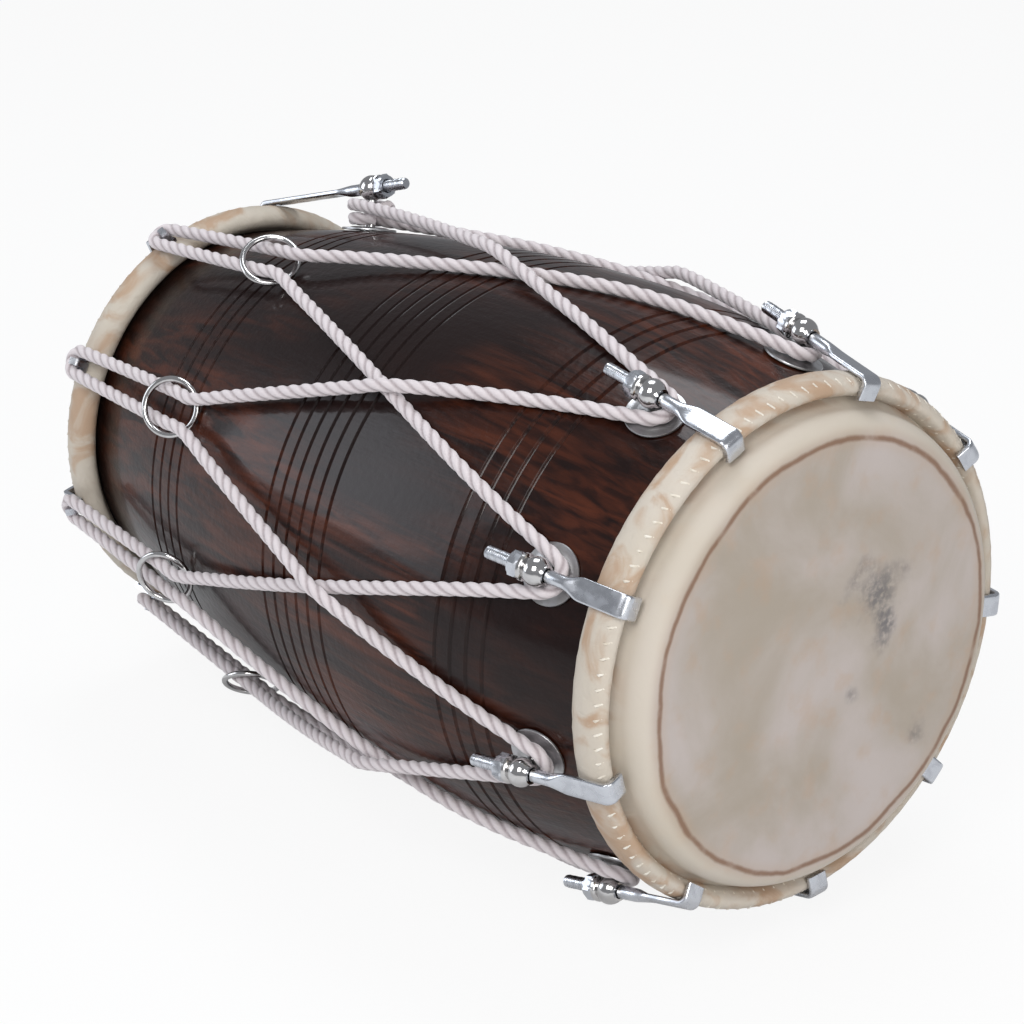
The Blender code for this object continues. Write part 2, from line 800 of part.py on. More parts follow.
def set_down(rest, pieces):
    """Move the drum so that the bottom centre of its box is at the origin."""
    bpy.context.view_layer.update()
    graph = bpy.context.evaluated_depsgraph_get()
    corners = []
    for piece in pieces:
        evaluated = piece.evaluated_get(graph)
        mesh = evaluated.to_mesh()
        corners += [piece.matrix_world @ vert.co for vert in mesh.vertices]
        evaluated.to_mesh_clear()
    low = [min(corner[i] for corner in corners) for i in range(3)]
    high = [max(corner[i] for corner in corners) for i in range(3)]
    middle_x, middle_y = ((low[i] + high[i]) / 2 for i in range(2))
    rest.location -= Vector((middle_x, middle_y, low[2]))
    bpy.context.view_layer.update()


def build():
    """Make every piece and hang it on the empty that lays the drum on its side."""
    for old in list(bpy.data.objects):
        bpy.data.objects.remove(old)
    lacquer = material("lacquered_wood", (0.045, 0.014, 0.009), 0.18)
    hide = material("rawhide", (0.62, 0.54, 0.44), 0.6)
    cotton = material("cotton_rope", (0.74, 0.69, 0.66), 0.9)
    zinc = material("zinc_plated_steel", (0.62, 0.64, 0.68), 0.28, 1.0)
    dull = material("galvanised_steel", (0.5, 0.5, 0.5), 0.45, 1.0)
    nickel = material("nickel_plated_steel", (0.55, 0.54, 0.52), 0.2, 1.0)

    pieces = [shell(lacquer)]
    for name, hoop in (("bass_head", BASS_HOOP), ("treble_head", TREBLE_HOOP)):
        piece = head(name, hoop, hide)
        piece.matrix_world = Matrix.Rotation(math.radians(FIRST_STATION_DEG), 4, "X")
        pieces.append(piece)
    pieces.append(lacing_rope(cotton))

    first = BASS_EYES[0]
    bass_hook = hook("tuning_hook_1", first, zinc)
    nut = hex_nut("hook_nut_1", zinc)
    bolt = eye_bolt("eye_bolt_1", first, nickel)
    washer = cup_washer("cup_washer_1", dull)
    for index, eye in enumerate(BASS_EYES):
        number = index + 1
        for model, stem, place in (
            (bass_hook, "tuning_hook", eye.frame()),
            (nut, "hook_nut", eye.frame()),
            (bolt, "eye_bolt", eye.frame()),
            (washer, "cup_washer", eye.base),
        ):
            piece = model if index == 0 else copy_of(model, f"{stem}_{number}")
            piece.matrix_world = place
            pieces.append(piece)
    anchor = (
        (hook("anchor_hook", ANCHOR_EYE, zinc), ANCHOR_EYE.frame()),
        (copy_of(nut, "anchor_nut"), ANCHOR_EYE.frame()),
        (eye_bolt("anchor_eye_bolt", ANCHOR_EYE, nickel), ANCHOR_EYE.frame()),
        (copy_of(washer, "anchor_washer"), ANCHOR_EYE.base),
    )
    for piece, place in anchor:
        piece.matrix_world = place
        pieces.append(piece)

    clip, ring = None, None
    for index in range(1, STATIONS):
        number = index + 1
        clip = copy_of(clip, f"rope_clip_{number}") if clip else rope_clip(f"rope_clip_{number}", zinc)
        ring = copy_of(ring, f"slide_ring_{number}") if ring else slide_ring(f"slide_ring_{number}", nickel)
        clip.matrix_world = clip_frame(index)
        ring.matrix_world = ring_frame(index)
        pieces += [clip, ring]

    rest = bpy.data.objects.new("drum_at_rest", None)
    bpy.context.scene.collection.objects.link(rest)
    rest.rotation_euler = (math.radians(REST_ROLL_DEG), math.radians(REST_PITCH_DEG), 0)
    for piece in pieces:
        piece.parent = rest
    set_down(rest, pieces)
    print(f"hook tilt {math.degrees(first.tilt):.2f}, anchor tilt {math.degrees(ANCHOR_EYE.tilt):.2f}")


build()
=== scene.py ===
"""Looks of a dholak: lacquered barrel, stitched hide heads, twisted lacing rope and bright hardware.

Every piece is laid out in the drum's own frame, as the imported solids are: X is the axis of the
barrel with the bass face at zero, and a station is an angle round it, from +Z towards -Y.
"""

from __future__ import annotations

import json
import logging
import math
from dataclasses import dataclass, field
from enum import Enum

import bpy
from mathutils import Matrix, Vector


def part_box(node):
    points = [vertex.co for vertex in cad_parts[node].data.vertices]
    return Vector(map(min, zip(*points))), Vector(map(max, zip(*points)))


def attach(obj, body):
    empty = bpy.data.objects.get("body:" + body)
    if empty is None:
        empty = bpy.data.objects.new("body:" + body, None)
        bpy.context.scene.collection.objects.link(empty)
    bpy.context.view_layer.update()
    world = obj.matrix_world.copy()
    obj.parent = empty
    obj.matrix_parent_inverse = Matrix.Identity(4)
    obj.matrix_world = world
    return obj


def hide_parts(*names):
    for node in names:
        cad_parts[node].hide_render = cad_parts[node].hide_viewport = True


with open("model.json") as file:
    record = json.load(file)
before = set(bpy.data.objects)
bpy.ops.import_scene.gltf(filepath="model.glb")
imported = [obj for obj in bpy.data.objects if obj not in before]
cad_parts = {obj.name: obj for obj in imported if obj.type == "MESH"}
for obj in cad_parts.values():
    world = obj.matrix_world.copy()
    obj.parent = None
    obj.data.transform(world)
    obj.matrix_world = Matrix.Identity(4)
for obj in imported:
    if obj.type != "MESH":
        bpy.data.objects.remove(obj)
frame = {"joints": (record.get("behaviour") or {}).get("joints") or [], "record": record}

MM = 0.001
Faces = tuple[list[Vector], list[tuple[int, ...]]]
LOG = logging.getLogger("dholak")


class Slot(Enum):
    """Material slots of the record."""

    WOOD = "lacquered_wood"
    HIDE = "rawhide"
    ROPE = "cotton_rope"
    ZINC = "zinc_plate"
    NICKEL = "nickel_plate"
    GALVANISED = "galvanised_steel"


# Measures that the solids share
@dataclass(frozen=True)
class Barrel:
    """Outline of the barrel, in metres."""

    length: float = 444 * MM
    belly_radius: float = 130.5 * MM
    belly_from_bass: float = 150 * MM
    bass_mouth: float = 103.5 * MM
    treble_mouth: float = 89 * MM
    wall: float = 13 * MM
    edge_depth: float = 12 * MM
    edge_width: float = 9 * MM
    groove_pitch: float = 9.2 * MM
    groove_width: float = 2.4 * MM
    groove_depth: float = 1.1 * MM
    bands: tuple[tuple[float, int], ...] = ((95 * MM, 4), (213 * MM, 6), (334 * MM, 4))

    def radius(self, x: float) -> float:
        """Outer radius at a place along the axis.

        Args:
            x: place along the axis, 0 at the bass face and negative inwards.

        Returns:
            The radius in metres.
        """
        belly = -self.belly_from_bass
        mouth_x, mouth = (0.0, self.bass_mouth) if x >= belly else (-self.length, self.treble_mouth)
        share = (x - belly) / (mouth_x - belly)
        return self.belly_radius - (self.belly_radius - mouth) * share * share

    def slope(self, x: float) -> float:
        """Rise of the radius per metre at a place along the axis."""
        step = 0.5 * MM
        return (self.radius(x + step) - self.radius(x - step)) / (2 * step)

    def mouth(self, face: float, inward: int, offset: float, steps: int = 8) -> list[tuple[float, float]]:
        """Rounded bearing edge of one mouth, as (x, radius) points from the crest outwards.

        Args:
            face: x of the mouth.
            inward: -1 at the bass end, +1 at the treble end.
            offset: distance off the wood.
            steps: number of facets.

        Returns:
            The points of the edge.
        """
        crest = self.radius(face + inward * self.edge_depth) - self.edge_width
        points = []
        for i in range(steps + 1):
            angle = math.pi / 2 * i / steps
            depth = (self.edge_depth + offset) * (1 - math.cos(angle)) - offset
            points.append((face + inward * depth, crest + (self.edge_width + offset) * math.sin(angle)))
        return points


@dataclass(frozen=True)
class Hoop:
    """Oval roll of hide round a hoop."""

    face: float
    inward: int
    outer: float
    set_back: float
    width: float
    thickness: float

    @property
    def x(self) -> float:
        """Place of the hoop along the axis."""
        return self.face + self.inward * self.set_back

    @property
    def middle(self) -> float:
        """Radius of the middle of the section."""
        return self.outer - self.thickness / 2

    def point(self, degrees: float, swell: float = 0.0) -> tuple[float, float]:
        """Point of the section; 0 degrees faces out of the drum and 90 away from the axis."""
        angle = math.radians(degrees)
        x = self.x - self.inward * (self.width / 2 + swell) * math.cos(angle)
        return x, self.middle + (self.thickness / 2 + swell) * math.sin(angle)


BARREL = Barrel()
SKIN = 1.2 * MM
GAP = 0.3 * MM
STATIONS = 9
FIRST_STATION = math.radians(-15.0)
BASS_HOOP = Hoop(0.0, -1, 122.7 * MM, 19.5 * MM, 20 * MM, 10.4 * MM)
TREBLE_HOOP = Hoop(-444 * MM, 1, 108 * MM, 19.2 * MM, 19 * MM, 11.6 * MM)


class DrumFrame:
    """The drum's own frame in the world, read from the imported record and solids."""

    def __init__(self) -> None:
        """Read the two faces and one washer, which give the axis and the roll."""
        mounts = {mount["name"]: mount for mount in frame["record"]["mounts"]}
        bass = Vector(mounts["bass_face"]["pos_m"])
        treble = Vector(mounts["treble_face"]["pos_m"])
        axis = (bass - treble).normalized()
        zero = bass - axis * (SKIN + GAP)
        low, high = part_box("cup_washer_1")
        out = (low + high) / 2 - zero
        out = (out - axis * out.dot(axis)).normalized()
        up = Matrix.Rotation(-FIRST_STATION, 3, axis) @ out
        self.matrix = frame_of(axis, up.cross(axis), up, zero)
        self.joints = {joint["child"]: joint for joint in frame["joints"]}

    def eye(self, nut: str) -> Matrix:
        """World frame of an eye: Z along the rod to its threaded end, Y off the drum.

        Args:
            nut: body of the nut on that rod.

        Returns:
            The frame at the middle of the eye.
        """
        joint = self.joints[nut]
        along = Vector(joint["axis"]).normalized()
        centre = Vector(joint["pos_m"]) - along * (NUT_START + NUT_THICKNESS / 2)
        local = self.matrix.inverted() @ centre
        out = self.matrix.to_3x3() @ Vector((0, local.y, local.z)).normalized()
        off_drum = (out - along * out.dot(along)).normalized()
        return frame_of(off_drum.cross(along), off_drum, along, centre)


def frame_of(x_axis: Vector, y_axis: Vector, z_axis: Vector, origin: Vector) -> Matrix:
    """Matrix from three unit vectors and an origin."""
    made = Matrix.Identity(4)
    for column, axis in enumerate((x_axis, y_axis, z_axis)):
        for row in range(3):
            made[row][column] = axis[row]
    made.translation = origin
    return made


def station_angle(index: int) -> float:
    """Angle of a station round the axis, in radians."""
    return FIRST_STATION + 2 * math.pi * index / STATIONS


def radial(angle: float) -> Vector:
    """Unit vector away from the axis."""
    return Vector((0, -math.sin(angle), math.cos(angle)))


def surface_frame(x: float, angle: float) -> Matrix:
    """Frame on the barrel: X along the surface to the bass end, Z outwards."""
    slope = math.atan(BARREL.slope(x))
    along = Vector((math.cos(slope), 0, 0)) + radial(angle) * math.sin(slope)
    out = Vector((-math.sin(slope), 0, 0)) + radial(angle) * math.cos(slope)
    origin = Vector((x, 0, 0)) + radial(angle) * BARREL.radius(x)
    return frame_of(along, out.cross(along), out, origin)


# Hardware measures
ROD = 6 * MM
EYE_LENGTH = 11.2 * MM
EYE_COLLAR_THICKNESS = 1.2 * MM
NUT_START = EYE_LENGTH / 2 + EYE_COLLAR_THICKNESS + GAP
NUT_THICKNESS = 5 * MM
ROPE = 6.5 * MM
EYE_FROM_BASS = 54.4 * MM
ANCHOR_X = -444 * MM + 91 * MM
CLIP_THICKNESS = 2 * MM
CLIP_TOP = TREBLE_HOOP.outer + GAP + CLIP_THICKNESS
TONGUE_X = TREBLE_HOOP.x - TREBLE_HOOP.width / 2 - GAP + 12.5 * MM
RING_WIRE = 3 * MM
RING_MEAN = 13.5 * MM
RING_X = -325 * MM
RING_TILT = math.radians(29)


# Mesh helpers
class Shape:
    """Points and faces of a piece while it is made."""

    def __init__(self) -> None:
        """Start empty."""
        self.points: list[Vector] = []
        self.faces: list[tuple[int, ...]] = []

    def add(self, points: list[Vector], faces: list[tuple[int, ...]], place: Matrix | None = None) -> None:
        """Append a part of the piece, moved by a matrix if one is given."""
        base = len(self.points)
        self.points += [place @ point for point in points] if place else list(points)
        self.faces += [tuple(base + index for index in face) for face in faces]

    def piece(self, name: str, sharp_degrees: float = 40.0) -> bpy.types.Object:
        """Make the object, with its place in its mesh.

        Args:
            name: name of the piece.
            sharp_degrees: edges with a larger angle stay sharp.

        Returns:
            The linked object.
        """
        mesh = bpy.data.meshes.new(name)
        mesh.from_pydata([tuple(point) for point in self.points], [], self.faces)
        mesh.validate()
        mesh.shade_smooth()
        mesh.set_sharp_from_angle(angle=math.radians(sharp_degrees))
        made = bpy.data.objects.new(name, mesh)
        bpy.context.scene.collection.objects.link(made)
        return made


def skin(rings: list[list[Vector]], caps: bool = True, loop: bool = False) -> Faces:
    """Faces over a run of equal rings.

    Args:
        rings: closed rings with the same number of points.
        caps: close both ends.
        loop: join the last ring to the first.

    Returns:
        The points and the faces.
    """
    count = len(rings[0])
    points = [point for ring in rings for point in ring]
    faces = []
    last = len(rings) if loop else len(rings) - 1
    for i in range(last):
        here, there = i * count, ((i + 1) % len(rings)) * count
        for j in range(count):
            k = (j + 1) % count
            faces.append((here + j, here + k, there + k, there + j))
    if caps and not loop:
        faces.append(tuple(reversed(range(count))))
        faces.append(tuple(range((len(rings) - 1) * count, len(rings) * count)))
    return points, faces


def lathe(profile: list[tuple[float, float]], steps: int, loop: bool) -> Faces:
    """Revolve (axial, radius) points round X; a radius of 0 is a pole.

    Args:
        profile: the points of the section.
        steps: facets round the axis.
        loop: close the section on itself.

    Returns:
        The points and the faces.
    """
    points: list[Vector] = []
    rings = []
    for axial, radius in profile:
        if radius < 1e-7:
            points.append(Vector((axial, 0, 0)))
            rings.append([len(points) - 1] * steps)
            continue
        rings.append(list(range(len(points), len(points) + steps)))
        for i in range(steps):
            angle = 2 * math.pi * i / steps
            points.append(Vector((axial, -radius * math.sin(angle), radius * math.cos(angle))))
    pairs = list(zip(rings, rings[1:]))
    if loop:
        pairs.append((rings[-1], rings[0]))
    faces = []
    for first, second in pairs:
        for i in range(steps):
            j = (i + 1) % steps
            corners = tuple(dict.fromkeys((first[i], first[j], second[j], second[i])))
            if len(corners) > 2:
                faces.append(corners)
    return points, faces


def recalculated(piece: bpy.types.Object) -> bpy.types.Object:
    """Turn a closed piece's faces outwards."""
    import bmesh

    bm = bmesh.new()
    bm.from_mesh(piece.data)
    bmesh.ops.remove_doubles(bm, verts=bm.verts, dist=1e-6)
    bmesh.ops.recalc_face_normals(bm, faces=bm.faces)
    bm.to_mesh(piece.data)
    bm.free()
    return piece


def dress(piece: bpy.types.Object, finish: "Finish", slot: Slot, body: str, *nodes: str) -> None:
    """Give a piece its finish and its body, and hide the nodes that it stands for."""
    piece.data.materials.clear()
    piece.data.materials.append(finish.material())
    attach(piece, body)
    if nodes:
        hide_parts(*nodes)
    LOG.info("%s on %s: %d faces", piece.name, body, len(piece.data.polygons))


# Finishes
class Nodes:
    """Short way to wire a material."""

    def __init__(self, name: str) -> None:
        """Start a material with its Principled shader."""
        self.material = bpy.data.materials.new(name)
        self.material.use_nodes = True
        self.tree = self.material.node_tree
        self.shader = self.tree.nodes["Principled BSDF"]
        self.coordinates = self.tree.nodes.new("ShaderNodeTexCoord")

    def set(self, socket: str, value: object) -> None:
        """Set or link one socket of the shader."""
        self.put(self.shader, socket, value)

    def put(self, node: bpy.types.Node, socket: str | int, value: object) -> None:
        """Set or link one socket of a node."""
        if isinstance(value, bpy.types.NodeSocket):
            self.tree.links.new(value, node.inputs[socket])
        elif isinstance(value, tuple) and len(value) == 3 and node.inputs[socket].type == "RGBA":
            node.inputs[socket].default_value = (*value, 1.0)
        else:
            node.inputs[socket].default_value = value

    def noise(
        self, vector: bpy.types.NodeSocket, scale: float, detail: float = 4.0, distortion: float = 0.0
    ) -> bpy.types.NodeSocket:
        """Noise value of a vector."""
        node = self.tree.nodes.new("ShaderNodeTexNoise")
        self.put(node, "Vector", vector)
        for socket, value in (("Scale", scale), ("Detail", detail), ("Distortion", distortion)):
            self.put(node, socket, value)
        return node.outputs["Fac"]

    def scaled(self, vector: bpy.types.NodeSocket, scale: tuple[float, float, float]) -> bpy.types.NodeSocket:
        """Vector stretched along its axes."""
        node = self.tree.nodes.new("ShaderNodeMapping")
        self.put(node, "Vector", vector)
        node.inputs["Scale"].default_value = scale
        return node.outputs["Vector"]

    def math(self, operation: str, first: object, second: object = 0.0) -> bpy.types.NodeSocket:
        """One sum of two values."""
        node = self.tree.nodes.new("ShaderNodeMath")
        node.operation = operation
        self.put(node, 0, first)
        self.put(node, 1, second)
        return node.outputs[0]

    def ramp(self, value: bpy.types.NodeSocket, low: float, high: float) -> bpy.types.NodeSocket:
        """0 below low, 1 above high and smooth between."""
        node = self.tree.nodes.new("ShaderNodeMapRange")
        node.interpolation_type = "SMOOTHSTEP"
        self.put(node, "Value", value)
        self.put(node, "From Min", low)
        self.put(node, "From Max", high)
        return node.outputs[0]

    def mix(self, share: object, first: object, second: object) -> bpy.types.NodeSocket:
        """Mix of two colours."""
        node = self.tree.nodes.new("ShaderNodeMix")
        node.data_type = "RGBA"
        self.put(node, 0, share)
        self.put(node, 6, first)
        self.put(node, 7, second)
        return node.outputs[2]

    def bump(self, height: bpy.types.NodeSocket, distance: float, strength: float = 1.0) -> None:
        """Give the shader a bump from a height."""
        node = self.tree.nodes.new("ShaderNodeBump")
        self.put(node, "Height", height)
        self.put(node, "Distance", distance)
        self.put(node, "Strength", strength)
        self.set("Normal", node.outputs["Normal"])

    def attribute(self, name: str) -> bpy.types.NodeSocket:
        """Value that the mesh carries."""
        node = self.tree.nodes.new("ShaderNodeAttribute")
        node.attribute_name = name
        return node.outputs["Fac"]

    def distance(self, point: Vector) -> bpy.types.NodeSocket:
        """Distance from a fixed point."""
        node = self.tree.nodes.new("ShaderNodeVectorMath")
        node.operation = "DISTANCE"
        self.put(node, 0, self.coordinates.outputs["Object"])
        node.inputs[1].default_value = point
        return node.outputs["Value"]


@dataclass(frozen=True)
class Finish:
    """Base of all finishes."""

    name: str

    def material(self) -> bpy.types.Material:
        """The material, made once."""
        return bpy.data.materials.get(self.name) or self.make()

    def make(self) -> bpy.types.Material:
        """Build the node tree."""
        raise NotImplementedError


@dataclass(frozen=True)
class Lacquer(Finish):
    """Dark red-brown wood under a thick clear coat."""

    dark: tuple[float, float, float] = (0.0080, 0.0022, 0.0016)
    warm: tuple[float, float, float] = (0.085, 0.0205, 0.0080)
    roughness: float = 0.34

    def make(self) -> bpy.types.Material:
        """Long grain along the barrel, warm patches and brushed-on coat."""
        nodes = Nodes(self.name)
        place = nodes.coordinates.outputs["Object"]
        grain = nodes.noise(nodes.scaled(place, (6, 70, 70)), 3.0, 8.0, 0.6)
        patches = nodes.noise(nodes.scaled(place, (5, 11, 11)), 1.0, 3.0, 0.8)
        share = nodes.math("MULTIPLY", nodes.ramp(patches, 0.38, 0.68), nodes.ramp(grain, 0.30, 0.72))
        nodes.set("Base Color", nodes.mix(share, self.dark, self.warm))
        nodes.set("Roughness", self.roughness)
        nodes.set("Specular IOR Level", 0.12)
        nodes.set("Coat Weight", 0.30)
        nodes.set("Coat Roughness", 0.09)
        ripple = nodes.noise(nodes.scaled(place, (30, 90, 90)), 1.2, 3.0)
        fine = nodes.noise(nodes.scaled(place, (60, 400, 400)), 2.0, 6.0)
        peel = nodes.noise(place, 260.0, 3.0)
        relief = nodes.math("ADD", nodes.math("MULTIPLY", fine, 0.25), nodes.math("MULTIPLY", peel, 0.5))
        nodes.bump(nodes.math("ADD", relief, ripple), 0.0009, 0.55)
        return nodes.material


@dataclass(frozen=True)
class Hide(Finish):
    """Goat hide: greige face, worn ring, and tan streaks on the lapped hoop."""

    ring_radius: float = 100 * MM
    spots: tuple[tuple[Vector, float, float], ...] = ()
    face: tuple[float, float, float] = (0.360, 0.308, 0.250)
    pale: tuple[float, float, float] = (0.475, 0.420, 0.395)
    tan: tuple[float, float, float] = (0.43, 0.290, 0.190)
    ring: tuple[float, float, float] = (0.19, 0.095, 0.050)
    rim: tuple[float, float, float] = (0.60, 0.54, 0.45)
    stain: tuple[float, float, float] = (0.085, 0.085, 0.095)

    def make(self) -> bpy.types.Material:
        """Mottled skin, a brown ring inside the hoop and a few dark stains."""
        nodes = Nodes(self.name)
        place = nodes.coordinates.outputs["Object"]
        radius = nodes.attribute("from_axis")
        cloud = nodes.noise(place, 14.0, 6.0, 0.4)
        mottle = nodes.noise(place, 75.0, 5.0)
        fleck = nodes.noise(place, 420.0, 3.0)
        colour = nodes.mix(nodes.ramp(cloud, 0.35, 0.68), self.face, self.pale)
        colour = nodes.mix(nodes.math("MULTIPLY", nodes.ramp(mottle, 0.50, 0.75), 0.35), colour, self.tan)
        edge = nodes.ramp(radius, self.ring_radius - 1 * MM, self.ring_radius + 6 * MM)
        colour = nodes.mix(nodes.math("MULTIPLY", edge, 0.7), colour, self.rim)
        hoop = nodes.ramp(radius, self.ring_radius + 9 * MM, self.ring_radius + 15 * MM)
        streak = nodes.ramp(nodes.noise(place, 38.0, 5.0, 1.2), 0.44, 0.66)
        tanned = nodes.math("MULTIPLY", nodes.math("MULTIPLY", hoop, streak), 0.95)
        colour = nodes.mix(tanned, colour, self.tan)
        wander = nodes.math("MULTIPLY", nodes.math("SUBTRACT", nodes.noise(place, 30.0, 5.0), 0.5), 7 * MM)
        wandered = nodes.math("ADD", radius, wander)
        off = nodes.math("ABSOLUTE", nodes.math("SUBTRACT", wandered, self.ring_radius))
        line = nodes.math("SUBTRACT", 1.0, nodes.ramp(off, 0.3 * MM, 2.0 * MM))
        broken = nodes.math("MULTIPLY", line, nodes.ramp(nodes.noise(place, 90.0, 4.0), 0.05, 0.50))
        halo = nodes.math("SUBTRACT", 1.0, nodes.ramp(off, 0.5 * MM, 7 * MM))
        colour = nodes.mix(nodes.math("MULTIPLY", halo, 0.25), colour, self.tan)
        colour = nodes.mix(nodes.math("MULTIPLY", broken, 0.85), colour, self.ring)
        for centre, size, strength in self.spots:
            rough = nodes.math("SUBTRACT", nodes.noise(place, 60.0, 7.0), 0.5)
            ragged = nodes.math("MULTIPLY", rough, size * 2.2)
            away = nodes.math("ADD", nodes.distance(centre), ragged)
            spot = nodes.math("SUBTRACT", 1.0, nodes.ramp(away, size * 0.05, size))
            grit = nodes.ramp(nodes.noise(place, 380.0, 5.0), 0.20, 0.62)
            share = nodes.math("MULTIPLY", nodes.math("MULTIPLY", spot, grit), strength)
            colour = nodes.mix(share, colour, self.stain)
        nodes.set("Base Color", colour)
        nodes.set("Roughness", 0.58)
        height = nodes.math("ADD", nodes.math("MULTIPLY", fleck, 0.3), mottle)
        wrinkle = nodes.math("MULTIPLY", hoop, nodes.noise(place, 130.0, 5.0, 1.5))
        nodes.bump(nodes.math("ADD", height, nodes.math("MULTIPLY", wrinkle, 2.5)), 0.0005, 0.5)
        return nodes.material


@dataclass(frozen=True)
class Cotton(Finish):
    """Twisted white cotton with a faint lavender cast, and painted shade in the grooves between the strands.
    """

    pale: tuple[float, float, float] = (0.66, 0.60, 0.61)
    # The shade colour is painted shade for the grooves between the strands; pale is the colour on the crests.
    shade: tuple[float, float, float] = (0.36, 0.30, 0.31)

    def make(self) -> bpy.types.Material:
        """Fine yarn noise, and painted shade that follows the twist: darker in the grooves between the
        strands.
        """
        nodes = Nodes(self.name)
        place = nodes.coordinates.outputs["Object"]
        crest = nodes.attribute("crest")
        yarn = nodes.noise(place, 900.0, 3.0)
        # Painted shade: the crest value darkens the colour towards the grooves between the strands.
        share = nodes.math("ADD", nodes.math("MULTIPLY", crest, 0.85), nodes.math("MULTIPLY", yarn, 0.25))
        colour = nodes.mix(nodes.ramp(share, 0.05, 0.85), self.shade, self.pale)
        nodes.set("Base Color", colour)
        nodes.set("Roughness", 0.92)
        nodes.set("Sheen Weight", 0.35)
        nodes.bump(nodes.noise(place, 1500.0, 4.0), 0.0004, 0.6)
        return nodes.material


@dataclass(frozen=True)
class Metal(Finish):
    """Plated steel with faint scuffs and cloudy gloss."""

    colour: tuple[float, float, float] = (0.62, 0.64, 0.68)
    dull: tuple[float, float, float] = (0.40, 0.41, 0.45)
    smooth: float = 0.16
    rough: float = 0.38
    scuff: float = 0.35

    def make(self) -> bpy.types.Material:
        """Clouded plating over a metal base."""
        nodes = Nodes(self.name)
        place = nodes.coordinates.outputs["Object"]
        cloud = nodes.noise(place, 160.0, 5.0, 0.5)
        scratch = nodes.noise(nodes.scaled(place, (250, 1400, 1400)), 1.0, 4.0)
        share = nodes.math("MULTIPLY", nodes.ramp(cloud, 0.40, 0.72), self.scuff)
        nodes.set("Base Color", nodes.mix(share, self.colour, self.dull))
        nodes.set("Metallic", 1.0)
        worn = nodes.math("MULTIPLY", nodes.ramp(cloud, 0.3, 0.75), self.rough - self.smooth)
        nodes.set("Roughness", nodes.math("ADD", worn, self.smooth))
        nodes.bump(scratch, 0.00008, 0.35)
        return nodes.material


@dataclass(frozen=True)
class Thread(Finish):
    """Waxed white stitching thread."""

    colour: tuple[float, float, float] = (0.80, 0.76, 0.68)

    def make(self) -> bpy.types.Material:
        """Pale thread with small changes of tone."""
        nodes = Nodes(self.name)
        tone = nodes.noise(nodes.coordinates.outputs["Object"], 300.0, 3.0)
        nodes.set("Base Color", nodes.mix(nodes.ramp(tone, 0.3, 0.7), (0.62, 0.55, 0.45), self.colour))
        nodes.set("Roughness", 0.75)
        nodes.bump(tone, 0.0002, 0.5)
        return nodes.material


ZINC = Metal("bright_zinc")
NICKEL = Metal("polished_nickel", (0.60, 0.59, 0.585), (0.30, 0.29, 0.29), 0.07, 0.2, 0.3)
DULL_STEEL = Metal("dull_galvanised", (0.50, 0.50, 0.51), (0.28, 0.27, 0.26), 0.3, 0.5, 0.6)
THREAD = Thread("waxed_thread")


# Sub-assemblies
@dataclass
class Body:
    """The turned log."""

    drum: DrumFrame
    steps: int = 180
    inset: float = 3 * MM
    groove_points: int = 5

    def section(self) -> list[tuple[float, float]]:
        """Closed (x, radius) section with round-bottomed grooves."""
        outer = BARREL.mouth(0.0, -1, 0.0)
        marks = [-8 * MM * i for i in range(2, 55)]
        for middle, count in BARREL.bands:
            reach = (count / 2) * BARREL.groove_pitch
            marks = [x for x in marks if abs(x + middle) > reach]
        places = [(x, self.radius_at(x)) for x in marks if -432 * MM < x < -13 * MM]
        for centre in self.grooves():
            for i in range(self.groove_points):
                share = 2 * i / (self.groove_points - 1) - 1
                x = centre - share * BARREL.groove_width / 2
                depth = BARREL.groove_depth * (1 - share * share)
                places.append((x, self.radius_at(x) - depth))
        outer += sorted(places, reverse=True)
        outer += BARREL.mouth(-BARREL.length, 1, 0.0)[::-1]
        inner = []
        for i in range(13):
            x = -BARREL.length + self.inset + (BARREL.length - 2 * self.inset) * i / 12
            inner.append((x, BARREL.radius(x) - BARREL.wall))
        return outer + inner

    def radius_at(self, x: float) -> float:
        """Outer radius of the plain wood."""
        return BARREL.radius(x)

    def grooves(self) -> list[float]:
        """Middle of each groove."""
        places = []
        for middle, count in BARREL.bands:
            places += [-(middle + (i - (count - 1) / 2) * BARREL.groove_pitch) for i in range(count)]
        return places

    def build(self) -> bpy.types.Object:
        """Revolve the section."""
        shape = Shape()
        shape.add(*lathe(self.section(), self.steps, True), self.drum.matrix)
        return recalculated(shape.piece("barrel", 30))

    def dress(self) -> None:
        """Lacquer it."""
        dress(self.build(), Lacquer("dark_lacquer"), Slot.WOOD, "drum", "shell")


